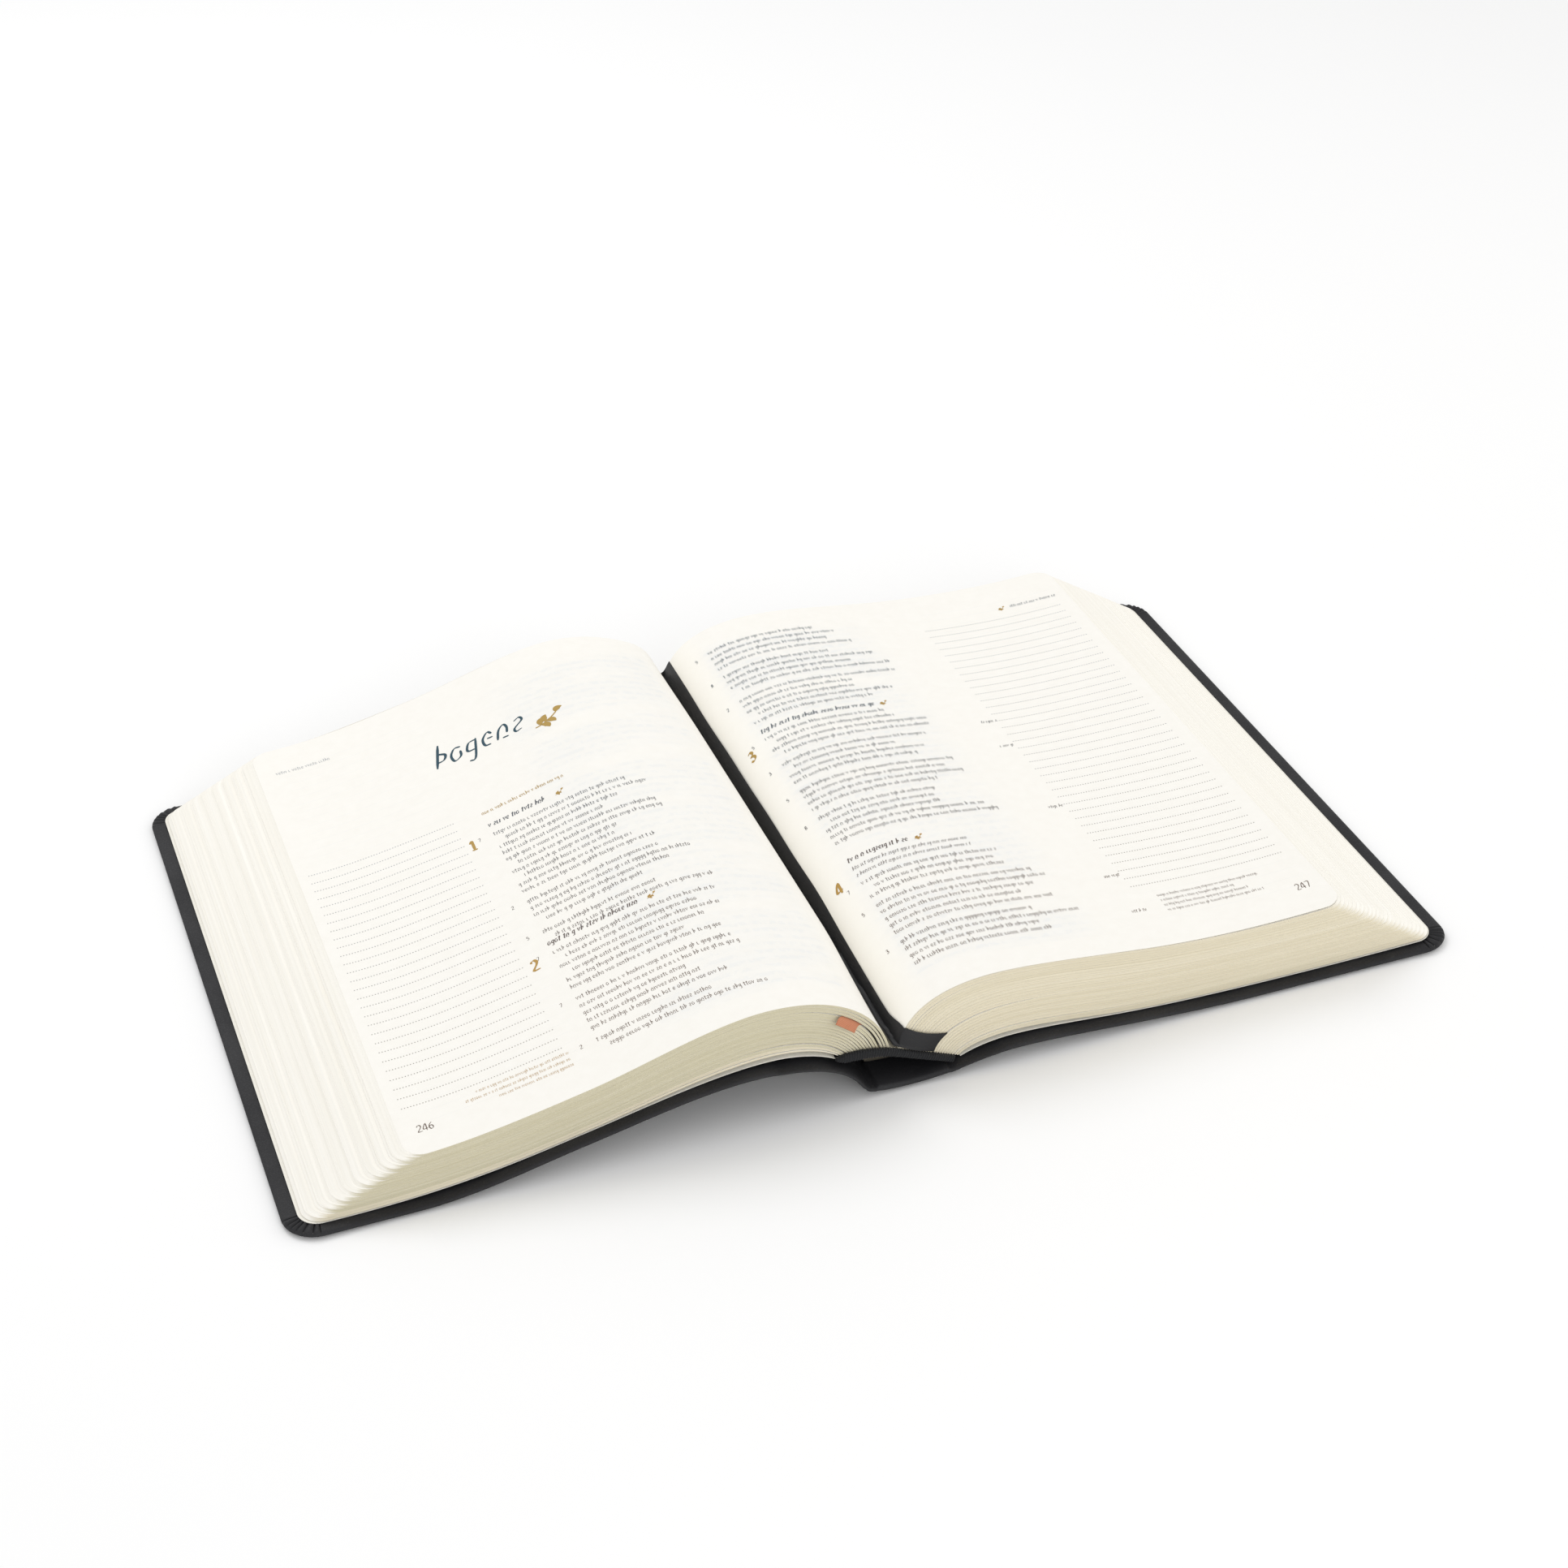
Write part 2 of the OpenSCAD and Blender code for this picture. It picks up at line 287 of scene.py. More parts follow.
class Nodes:
    """A short way to add nodes to one material."""

    def __init__(self, name, roughness=0.6, specular=0.3, **sockets):
        self.material = bpy.data.materials.new(name)
        self.material.use_nodes = True
        self.tree = self.material.node_tree
        self.shader = self.tree.nodes["Principled BSDF"]
        self.shader.inputs["Roughness"].default_value = roughness
        self.shader.inputs["Specular IOR Level"].default_value = specular
        for socket, value in sockets.items():
            self.shader.inputs[socket.replace("_", " ")].default_value = value

    def add(self, kind, inputs=None, **settings):
        """A node with its inputs, each a value or another node's output."""
        made = self.tree.nodes.new("ShaderNode" + kind)
        for key, value in settings.items():
            setattr(made, key, value)
        for key, value in (inputs or {}).items():
            if isinstance(value, bpy.types.NodeSocket):
                self.tree.links.new(value, made.inputs[key])
            else:
                made.inputs[key].default_value = value
        return made

    def book(self, scale=(1, 1, 1), offset=(0, 0, 0)):
        """The piece's own (s, y, layer) place, scaled."""
        mark = self.add("Attribute", attribute_name="book")
        return self.add("Mapping", {"Vector": mark.outputs["Vector"], "Scale": scale,
                                    "Location": offset}).outputs[0]

    def place(self):
        """Place on the object in millimetres."""
        at = self.add("TexCoord").outputs["Object"]
        return self.add("Mapping", {"Vector": at, "Scale": [1 / MM] * 3}).outputs[0]

    def noise(self, vector, scale, detail, rough):
        made = self.add("TexNoise", {"Vector": vector, "Scale": scale, "Detail": detail,
                                     "Roughness": rough})
        return made.outputs["Fac"]

    def math(self, operation, a, b=0.0):
        return self.add("Math", {0: a, 1: b}, operation=operation).outputs[0]

    def product(self, first, *others):
        for other in others:
            first = self.math("MULTIPLY", first, other)
        return first

    def ramp(self, value, low, high, to_low=0.0, to_high=1.0):
        return self.add("MapRange", {"Value": value, "From Min": low, "From Max": high,
                                     "To Min": to_low, "To Max": to_high}).outputs[0]

    def mix(self, fac, a, b, blend="MIX"):
        """A blend of two colours, each a tuple or another node's output."""
        a, b = ((*c, 1) if isinstance(c, tuple) else c for c in (a, b))
        return self.add("Mix", {0: fac, 6: a, 7: b}, data_type="RGBA",
                        blend_type=blend).outputs[2]

    def set(self, socket, value):
        self.tree.links.new(value, self.shader.inputs[socket])

    def bump(self, height, distance, strength=1.0, after=None):
        inputs = {"Height": height, "Distance": distance * MM, "Strength": strength}
        if after is not None:
            inputs["Normal"] = after
        normal = self.add("Bump", inputs).outputs[0]
        self.set("Normal", normal)
        return normal


def leather(name, dark, light):
    """Matt, finely pebbled covering with faint handling marks."""
    n = Nodes(name, roughness=0.55, specular=0.33)
    at = n.place()
    cells = n.add("TexVoronoi", {"Vector": at, "Scale": 1.9, "Smoothness": 0.35},
                  feature="SMOOTH_F1").outputs["Distance"]
    pores = n.noise(at, 4.5, 4, 0.6)
    cloud = n.noise(at, 0.045, 3, 0.55)
    pebble = n.math("ADD", n.ramp(cells, 0.0, 0.55, 1, 0), n.product(pores, 0.35))
    shade = n.mix(n.ramp(cloud, 0.35, 0.7), dark, light)
    speck = n.ramp(n.noise(at, 3.2, 2, 0.5), 0.66, 0.74)
    n.set("Base Color", n.mix(n.product(speck, 0.35), shade, (0.11, 0.11, 0.115)))
    n.set("Roughness", n.ramp(pebble, 0.2, 1.2, 0.66, 0.47))
    fine = n.bump(pebble, 0.055, 0.75)
    n.bump(n.noise(at, 0.12, 3, 0.5), 0.5, 0.18, after=fine)
    return n.material


def paper_edges(name, tail_shade_colours):
    """The cut edges of the leaves: fine strata that follow each gathering, with painted shade on
    the faces turned to the tail and head.
    """
    n = Nodes(name, roughness=0.78, specular=0.2)
    fine = n.noise(n.book((0.012, 0.012, 9.0)), 1.0, 3, 0.65)
    broad = n.noise(n.book((0.006, 0.006, 1.6), (7, 3, 1)), 1.0, 2, 0.5)
    # Tail and head faces get darker, greener colours: painted shade, for the little light that
    # reaches them.
    facing = n.add("SeparateXYZ", {0: n.add("NewGeometry").outputs["Normal"]}).outputs[1]
    tail = n.ramp(n.math("ABSOLUTE", facing), 0.45, 0.9)
    pale = n.mix(n.ramp(fine, 0.3, 0.7), (0.93, 0.90, 0.83), (0.955, 0.935, 0.88))
    low, high = tail_shade_colours
    painted_tail_shade = n.mix(n.ramp(fine, 0.3, 0.7), low, high)
    colour = n.mix(tail, pale, painted_tail_shade)
    tint = n.mix(n.ramp(broad, 0.3, 0.7), (0.95, 0.945, 0.925), (1.0, 1.0, 1.0))
    n.set("Base Color", n.mix(1.0, colour, tint, "MULTIPLY"))
    n.bump(fine, 0.12, 0.6)
    return n.material


def show_through(n, s, y):
    """How much print shows through from the other side, from 0 to 1."""
    rows = n.math("PINGPONG", n.math("DIVIDE", y, 1.95), 1.0)
    words = n.noise(n.book((0.42, 0.2565, 0)), 1.0, 3, 0.7)
    clumps = n.noise(n.book((0.02, 0.07, 0), (4, 9, 0)), 1.0, 2, 0.5)
    column = n.product(n.ramp(s, 18, 22), n.ramp(s, 86, 74))
    text = n.product(n.ramp(rows, 0.35, 0.65), n.ramp(words, 0.44, 0.56), column,
                     n.ramp(clumps, 0.38, 0.5), 0.15)
    ruled = n.product(n.ramp(s, 104, 108), n.ramp(s, 162, 156))
    line = n.ramp(n.math("PINGPONG", n.math("DIVIDE", y, 2.4), 1.0), 0.9, 0.98)
    wash = n.product(column, n.ramp(clumps, 0.3, 0.6), 0.12)
    shown = n.math("ADD", n.math("ADD", text, n.product(line, ruled, 0.10)), wash)
    return n.product(shown, n.ramp(y, -108, -104), n.ramp(y, 108, 104))


def page_paper(name, side):
    """Smooth thin paper; on the right page, painted warm light near the fold, for light
    reflected between the leaves.
    """
    n = Nodes(name, roughness=0.62, specular=0.28)
    spots = n.noise(n.place(), 0.25, 4, 0.6)
    colour = n.mix(n.ramp(spots, 0.3, 0.7), (0.895, 0.872, 0.818), (0.915, 0.895, 0.845))
    s, y, _ = n.add("SeparateXYZ", {0: n.book()}).outputs
    colour = n.mix(show_through(n, s, y), colour, (0.66, 0.71, 0.76))
    # Painted warm light: the right page turns cream near the fold, for light reflected and
    # passed between the thin leaves.
    if side == "right":
        colour = n.mix(n.ramp(s, 22, 4), colour, (0.99, 0.96, 0.875))
    n.set("Base Color", colour)
    fine = n.bump(n.noise(n.place(), 3.0, 4, 0.6), 0.012, 0.5)
    n.bump(n.noise(n.book((0.03, 0.012, 0)), 1.0, 2, 0.5), 0.8, 0.12, after=fine)
    return n.material


def ink(name, far, near):
    """Printing ink, one colour at the head of the page and a warmer one at the tail."""
    n = Nodes(name, roughness=0.5, specular=0.3)
    y = n.add("SeparateXYZ", {0: n.book()}).outputs[1]
    soft = n.noise(n.place(), 1.5, 3, 0.6)
    drift = n.math("ADD", n.ramp(y, 70, -90, 0, 1), n.ramp(soft, 0.3, 0.7, -0.15, 0.15))
    n.set("Base Color", n.mix(n.ramp(drift, 0, 1), far, near))
    return n.material


def ribbon_cloth(name, dark, light, roughness, ribs, sheen, metallic=0.0):
    """Narrow woven ribbon: ribs across it and a firm selvedge, with painted satin sheen in its
    light and dark streaks.
    """
    n = Nodes(name, roughness=roughness, specular=0.4, Sheen_Weight=sheen,
              Sheen_Roughness=0.35, Metallic=metallic)
    wave = n.add("TexWave", {"Vector": n.book((ribs, 0, 0)), "Scale": 1.0,
                             "Distortion": 0.0}, bands_direction="X").outputs["Fac"]
    warp_and_sheen = n.noise(n.book((0.15, 9, 0)), 1.0, 2, 0.5)
    fleck = n.noise(n.book((2.5, 5, 0)), 1.0, 2, 0.5)
    # The light and dark of ribs and streaks along the ribbon: the weave, with painted satin
    # sheen in it.
    fac = n.math("ADD", n.product(wave, 0.5), n.product(warp_and_sheen, 0.5))
    colour = n.mix(n.ramp(fac, 0.25, 0.75), dark, light)
    n.set("Base Color", n.mix(n.ramp(fleck, 0.66, 0.8, 0, 0.3), colour, light))
    fine = n.bump(wave, 0.05, 0.6)
    n.bump(warp_and_sheen, 0.03, 0.5, after=fine)
    return n.material


def band_cloth():
    """Tightly wrapped black cotton of the headband and tailband."""
    n = Nodes("end_band_cotton", roughness=0.8, specular=0.25, Sheen_Weight=0.1)
    strands = n.noise(n.book((14, 3, 3)), 1.0, 2, 0.5)
    fluff_and_glints = n.noise(n.place(), 4.0, 3, 0.6)
    colour = n.mix(n.ramp(strands, 0.35, 0.7), (0.004, 0.004, 0.005), (0.016, 0.017, 0.019))
    # Light flecks over the black: the cotton's fuzz, with painted highlight on its fibres.
    n.set("Base Color", n.mix(n.ramp(fluff_and_glints, 0.7, 0.78, 0, 0.5), colour, (0.09, 0.09, 0.085)))
    n.bump(n.math("ADD", strands, n.product(fluff_and_glints, 0.5)), 0.06, 0.7)
    return n.material


def fibre_stock(name, dark, light, scale, depth, streak=(1, 1, 1)):
    """Board, card, lining paper and thread: matted fibres."""
    n = Nodes(name, roughness=0.85, specular=0.2)
    at = n.add("Mapping", {"Vector": n.place(), "Scale": streak}).outputs[0]
    fibres = n.noise(at, scale, 5, 0.7)
    flecks = n.noise(at, scale * 3, 2, 0.5)
    colour = n.mix(n.ramp(fibres, 0.3, 0.7), dark, light)
    n.set("Base Color", n.mix(n.ramp(flecks, 0.68, 0.74, 0, 0.5), colour,
                              tuple(c * 0.55 for c in dark)))
    n.bump(fibres, depth, 0.6)
    return n.material


def mull_cloth():
    """Open-woven cotton stiffened with glue."""
    n = Nodes("mull_weave", roughness=0.9, specular=0.15)
    waves = [n.add("TexWave", {"Vector": n.place(), "Scale": 0.9, "Distortion": 0.4,
                               "Detail": 1.0}, bands_direction=d).outputs["Fac"]
             for d in ("Y", "DIAGONAL")]
    weave = n.math("MAXIMUM", *waves)
    n.set("Base Color", n.mix(n.ramp(weave, 0.3, 0.8), (0.42, 0.36, 0.24), (0.8, 0.76, 0.64)))
    n.bump(weave, 0.15, 0.8)
    return n.material


def plain_floor():
    """Matt pale paper."""
    n = Nodes("floor_paper", roughness=0.9, specular=0.1)
    cloud = n.noise(n.place(), 0.01, 2, 0.5)
    n.set("Base Color", n.mix(cloud, (0.93, 0.93, 0.93), (0.935, 0.935, 0.935)))
    return n.material


LEATHER = leather("black_leather", (0.010, 0.010, 0.012), (0.021, 0.021, 0.023))
# Two copies of one edge finish: the left half's darker tail colours are painted shade, and the
# right half's paler ones are the lit copy.
LEFT_EDGES = paper_edges("paper_edges_left_shaded", ((0.53, 0.485, 0.335), (0.66, 0.615, 0.46)))
RIGHT_EDGES = paper_edges("paper_edges_right_lit", ((0.66, 0.59, 0.43), (0.79, 0.73, 0.58)))
LEFT_PAGE = page_paper("printed_paper_left", "left")
RIGHT_PAGE = page_paper("printed_paper_right", "right")
PAPERS = {"left": (LEFT_PAGE, LEFT_EDGES), "right": (RIGHT_PAGE, RIGHT_EDGES)}
INK = ink("text_ink", (0.075, 0.105, 0.135), (0.155, 0.105, 0.080))
FAINT = ink("note_line_ink", (0.40, 0.43, 0.46), (0.38, 0.36, 0.33))
TEAL = ink("title_ink", (0.010, 0.055, 0.085), (0.012, 0.05, 0.08))
GOLD = ink("gold_ink", (0.42, 0.27, 0.06), (0.45, 0.26, 0.055))
BLACK_RIBBON = ribbon_cloth("black_satin_ribbon", (0.004, 0.004, 0.005),
                            (0.012, 0.012, 0.014), 0.5, 0.9, 0.05)
COPPER_RIBBON = ribbon_cloth("copper_satin_ribbon", (0.34, 0.115, 0.055),
                             (0.66, 0.27, 0.145), 0.32, 0.8, 0.2, 0.35)
BAND = band_cloth()
BOARD = fibre_stock("grey_board", (0.30, 0.27, 0.22), (0.45, 0.41, 0.34), 1.5, 0.08)
ENDPAPER = fibre_stock("endpaper", (0.80, 0.77, 0.69), (0.88, 0.86, 0.79), 1.0, 0.02)
CARD = fibre_stock("spine_card", (0.34, 0.30, 0.23), (0.5, 0.45, 0.36), 1.4, 0.06)
LINING = fibre_stock("black_lining", (0.010, 0.010, 0.011), (0.022, 0.022, 0.023), 0.9, 0.05,
                    streak=(1, 0.25, 1))
THREAD = fibre_stock("linen_thread", (0.62, 0.57, 0.45), (0.84, 0.80, 0.69), 3.0, 0.05,
                     streak=(1, 4, 4))
MULL = mull_cloth()

CAD_FINISHES = {
    "front_board": BOARD, "back_board": BOARD,
    "front_pastedown": ENDPAPER, "back_pastedown": ENDPAPER,
    "spine_liner": LINING, "spine_mull": MULL,
    "sewing_thread": THREAD,
}


# ---- The covering ----

# Rounded rim of a cover: (distance in from the outline, height as a share of the whole)
RIM = [(RIM_INSET, 0), (11.5, 0), (9, 0), (6.5, 0), (4.5, 0), (3, 0), (2, 0.01), (1.3, 0.05),
       (0.8, 0.14), (0.4, 0.27), (0.13, 0.42), (0.0, 0.58), (0.1, 0.72), (0.35, 0.84),
       (0.75, 0.93), (1.3, 0.98), (2, 1.0), (3, 1.0), (4.2, 1.0), (5.6, 1.0), (7.2, 1.0),
       (9, 1.0), (10.6, 1.0), (11.6, 0.99), (11.95, 0.94), (12.1, 0.35), (RIM_INSET, 0.33)]
# The ring on the very edge; the pleats start after it
OUTERMOST = 11
PLEATS = 7
ARC = 72
RUN = 50
SIDE = np.linspace(-1, 1, 34)[1:-1]


def pleat_height(turn, shift):
    """Height of the gathered leather at a share of the way round a corner."""
    phase = turn * PLEATS + shift + 0.25 * np.sin(9 * turn + shift)
    fold = np.abs(((phase % 1) - 0.42) / 0.58)
    ends = smooth(turn, -0.02, 0.1) * smooth(turn, 1.02, 0.9)
    return ends * (0.42 - 0.78 * np.clip(fold, 0, 1) ** 1.6)


def cover_heights(s, d, share, joint_end):
    """Height of the rim's profile where the cover passes into the joint."""
    stiff = smooth(s, joint_end - 3, joint_end + 1.5)
    full = JOINT_THICK + (COVER_THICK - JOINT_THICK) * stiff
    pocket = (d > TURN_IN) & (share < 0.9) & (share > 0.2)
    inner = np.where(s > joint_end + 1.9, SKIN, full)
    return np.where(pocket, inner, full * share)


def cover_ring(row, near, top, joint_end):
    """Points (s, y, h) of one ring of the rim, from the joint round the cover and back."""
    d, share = RIM[row]
    half = COVER_HEIGHT / 2
    centre = max(d, COVER_CORNER)
    turn = np.linspace(0, 1, ARC)
    angle = turn * math.pi / 2
    run = near[-1] + np.linspace(0, 1, RUN + 2)[1:-1] * (top - centre - near[-1])
    flat = np.zeros(len(near) + RUN)
    s = np.concatenate([near, run, top - centre + (centre - d) * np.sin(angle)])
    y = np.concatenate([flat + d - half, centre - half - (centre - d) * np.cos(angle)])
    s = np.concatenate([s, np.full(len(SIDE), top - d), s[::-1]])
    y = np.concatenate([y, SIDE * (half - centre), -y[::-1]])
    h = cover_heights(s, d, share, joint_end)
    if row > OUTERMOST:
        reach = smooth(d, -0.25, 0.9) * smooth(d, TURN_IN + 0.2, TURN_IN - 2.5)
        h += reach * np.concatenate([flat, pleat_height(turn, 0.3), 0 * SIDE,
                                     pleat_height(turn, 0.65)[::-1], flat])
    return np.stack([s, y, h], -1)


def fill_ring(ring, straight):
    """A grid of points over the flat inside of a ring."""
    end = ring[0, 1]
    y = np.concatenate([[end], SIDE * (COVER_HEIGHT / 2 - RIM_INSET), [-end]])
    grid = np.zeros((straight, len(y), 3))
    grid[..., [0, 2]] = ring[:straight, None, [0, 2]]
    grid[..., 1] = y
    return grid


def cover_leather(name, curve, up):
    """A cover's leather: outer face, rounded rim, strip turned in, and the bare joint."""
    path = Path(chain(curve), up)
    joint_end = Path(chain(curve[:1])).length
    near = np.concatenate([np.linspace(0, joint_end - 3, 16),
                           joint_end + np.array([-2, -1, 0, 1, 1.8, 1.95, 3, 6])])
    rings = [cover_ring(row, near, path.length, joint_end) for row in range(len(RIM))]
    outer, inner = (fill_ring(ring, len(near) + RUN + 1) for ring in (rings[0], rings[-1]))
    points = np.vstack(rings + [outer.reshape(-1, 3), inner.reshape(-1, 3)])
    ring_index = np.arange(len(RIM) * len(rings[0])).reshape(len(RIM), -1)
    outer_index = ring_index.size + np.arange(outer[..., 0].size).reshape(outer.shape[:2])
    inner_index = outer_index + outer_index.size
    faces = quads(ring_index) + quads(outer_index) + quads(inner_index)
    # Close the end at the joint
    faces += quads(np.stack([outer_index[0], inner_index[0]]))
    faces += [ring_index[:, 0].tolist(), ring_index[:, -1].tolist()]
    place = row_at(path.lifted(points[:, 0], points[:, 2]), points[:, 1])
    piece = finish_mesh(name, place, faces, [LEATHER], points, crease=60)
    merge_close(piece, 0.004)
    return piece


def merge_close(piece, distance):
    """Weld points that lie together, and drop the faces that vanish with them."""
    work = bmesh.new()
    work.from_mesh(piece.data)
    bmesh.ops.remove_doubles(work, verts=work.verts, dist=distance * MM)
    bmesh.ops.dissolve_degenerate(work, edges=work.edges, dist=distance * MM / 4)
    bmesh.ops.recalc_face_normals(work, faces=work.faces)
    work.to_mesh(piece.data)
    work.free()


def spine_ring(card):
    """A cross-section (y, h) of the spine's leather with rounded, turned-in ends.

    Where it covers the card strip, card is 1, and the turned-in ends stand higher.
    """
    half = COVER_HEIGHT / 2
    turned = JOINT_THICK + 0.95 * card
    rim = [(1.3, 0.0), (0.65, 0.1), (0.24, 0.27), (0, 0.52), (0.16, 0.75), (0.5, 0.93),
           (1.1, 1.0), (3, 1.0), (8, 1.0), (13.2, 1.0)]
    flat = np.linspace(-half + 2.5, half - 2.5, 24)
    low = [(y, 0) for y in flat]
    right = [(half - d, h * turned) for d, h in rim] + [(half - 13.7, JOINT_THICK)]
    high = [(y, JOINT_THICK) for y in np.linspace(half - 16, -half + 16, 20)]
    left = [(-y, h) for y, h in right[::-1]]
    return np.array(low + right + high + left)


def spine_leather():
    """The leather over the hollow spine, with a tongue under each joint's edge."""
    points = np.vstack([chain(BACK_CASE[:1])[6:0:-1], chain(SPINE_CASE)[:-1],
                        chain(FRONT_CASE[:1])[:6]])
    path = Path(points, -1)
    stations = np.linspace(0, path.length, 90)
    ends = np.minimum(stations, path.length - stations)
    body = smooth(ends, 0.2, 0.9)
    card = smooth(ends, 3.2, 4.6)
    rings, book = [], []
    for s, full, carded in zip(stations, body, card):
        ring = spine_ring(carded)
        middle = JOINT_THICK / 2
        h = middle + (ring[:, 1] - middle) * (0.7 + 0.3 * full)
        along = np.full(len(ring), s)
        rings.append(row_at(path.lifted(along, h), ring[:, 0]))
        book.append(np.stack([along, ring[:, 0], h], -1))
    return loft("spine_leather", np.array(rings), np.array(book), [LEATHER])


def spine_card():
    """The card strip inside the spine's leather."""
    path = Path(chain(SPINE_CASE), -1)
    s = np.linspace(3.6, path.length - 3.6, 40)
    at = path.lifted(s, np.full(len(s), JOINT_THICK + CARD_THICK / 2))
    grid = spread(at, np.linspace(TAIL, HEAD, 3))
    card = sheet_block("spine_card", grid, CARD_THICK, grid, [CARD])
    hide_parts("spine_inlay")
    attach(card, "spine")


def make_covering():
    """The leather in three pieces, and the card that stiffens its spine."""
    spine_card()
    front = cover_leather("front_cover_leather", FRONT_CASE, -1)
    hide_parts("front_cover_skin", "front_joint_skin")
    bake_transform(front)
    back = cover_leather("back_cover_leather", BACK_CASE, 1)
    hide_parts("back_cover_skin", "back_joint_skin")
    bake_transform(back)
    spine = spine_leather()
    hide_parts("spine_skin")
    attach(spine, "spine")


# ---- Leaves ----

# Distances from the fold and from the fore-edge at which a leaf is drawn finely
NEAR_FOLD = [0, 0.06, 0.16, 0.32, 0.55, 0.9, 1.4, 2.2]
CORNER_TURN = [math.radians(a) for a in (0, 10, 20, 31, 42, 53, 64, 75, 84, 90)]
MIDDLE = 58
SHEET_ROWS = 12


def stations(length):
    """Distances along a leaf, close together at the fold and round the corners."""
    corner = [length - LEAF_CORNER * (1 - math.sin(a)) for a in CORNER_TURN]
    middle = np.linspace(NEAR_FOLD[-1], corner[0], MIDDLE)[1:-1]
    return np.concatenate([NEAR_FOLD, middle, corner])


def half_heights():
    """Half the leaf's height at each station, less round the fore-edge corners."""
    corner = [HEAD - LEAF_CORNER * (1 - math.cos(a)) for a in CORNER_TURN]
    return np.array([HEAD] * (len(NEAR_FOLD) + MIDDLE - 2) + corner)


# How far the upper face of some gatherings stands clear near the fold, and its reach
OPENINGS = {
    ("left", 1): (0.3, 60), ("left", 8): (0.1, 10), ("left", 12): (0.22, 16),
    ("left", 14): (0.16, 12), ("left", 15): (0.24, 15), ("left", 16): (0.28, 20),
    ("right", 2): (0.3, 40), ("right", 14): (0.12, 14), ("right", 20): (0.14, 12),
    ("right", 21): (0.2, 24),
}
USUAL_OPENING = (0.05, 9)


def close_gap(half, k, line, s, v, low, high):
    """Away from the folds, raise a gathering whose group lies under an open gap."""
    under, over = group_of(half, k)
    if over == half["count"]:
        return
    share = share_of(half)
    floor = level(half, under + 1)
    tall = level(half, over) + share - floor
    paths = [level_path(half, u + GROUP_GAP * share * 0.95 * (u - floor) / tall)
             for u in (low, high)]
    shut = smooth(s[0], *half["closing"])[:, None]
    for row, x in enumerate(v):
        inside = np.minimum(s[row], min(path.length for path in paths))
        raised = between(paths[0].at(inside), paths[1].at(inside), x)
        line[row] += (raised - line[row]) * shut


def shape_fold(side, k, line, s, v):
    """Round the folds, and let gatherings stand a little apart near them."""
    middle = (line[0] + line[-1]) / 2
    fold_round = np.sqrt(1 - (1 - np.clip(s / 0.55, 0, 1)) ** 2) * 0.85 + 0.15
    apart, reach = (0.13, 8) if side == "left" else (0.035, 5)
    width = fold_round * (1 - apart * np.exp(-(s / reach) ** 2))
    line = middle + (line - middle) * width[:, None]
    clear, reach = OPENINGS.get((side, k), USUAL_OPENING)
    lean = (line[-1] - line[0]) * (clear * np.exp(-((s - 6) / reach) ** 2))[:, None]
    return line - v[:, None, None] ** 2 * lean


def gathering_points(side, k, rng):
    """The lattice of one gathering: stations, sheets and heights."""
    half = HALVES[side]
    slack = LEAF_GAP / 2 * share_of(half)
    low, high = level(half, k) + slack, level(half, k) + share_of(half) - slack
    opened = k == half["count"]
    v = np.linspace(0, 1, SHEET_ROWS + 1)
    step = (0.9 if k % 2 else 0.02) if side == "left" else 0.03
    step *= rng.uniform(0.8, 1.2)
    lines, distances = [], []
    for x in v:
        path = level_path(half, low + (high - low) * x)
        trim = step * (1 - x) + 0.14 * 4 * x * (1 - x) + rng.uniform(0, 0.05)
        distances.append(stations(path.length - trim))
        lines.append(path.at(distances[-1]))
    line, s = np.array(lines), np.array(distances)
    close_gap(half, k, line, s, v, low, high)
    line = shape_fold(side, k, line, s.mean(axis=0), v)

    ragged = np.array([rng.uniform(0, 0.07) for x in v])
    ragged[[0, -1]] = 0.02
    y_share = np.linspace(-1, 1, 41 if opened else 2)
    place = np.zeros((len(s[0]), len(v), len(y_share), 3))
    place[..., 0] = line[..., 0].T[:, :, None]
    place[..., 1] = (half_heights()[:, None] - ragged)[:, :, None] * y_share
    place[..., 2] = line[..., 1].T[:, :, None]
    if opened:
        top_s, top_y = s[-1][:, None], place[:, -1, :, 1]
        weight = (v ** 3)[None, :, None]
        place[..., 2] += page_wave(top_s, top_y, side)[:, None] * weight
        if side == "left":
            swell = gutter_swell(top_s, top_y)[:, None] * weight
            place[..., 0] += 0.88 * swell
            place[..., 2] += 0.47 * swell
    book = place.copy()
    book[..., 0] = s.T[:, :, None]
    book[..., 2] = (k + v)[:, None]
    return place, book


def page_wave(s, y, side):
    """The slight cockle of the opened page, which its print follows."""
    shift = 1.3 if side == "left" else 4.1
    free = smooth(s, 12, 70)
    wave = (0.20 * np.sin(s / 23 + y / 61 + shift) * np.sin(y / 37 + shift)
            + 0.10 * np.sin(s / 11 - y / 29 + 2 * shift))
    return free * (wave - 0.30)


def gutter_swell(s, y):
    """How far the opened left page leans over the gutter, away from the tail."""
    near = smooth(s, 0, 7) * np.exp(-((s - 15) / 11) ** 2)
    return 2.6 * near * smooth(y, TAIL, -62) * (1 - 0.25 * smooth(y, 60, HEAD))


def leaf_blend(piece):
    """Bake the piece's world placement into its points."""
    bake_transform(piece)


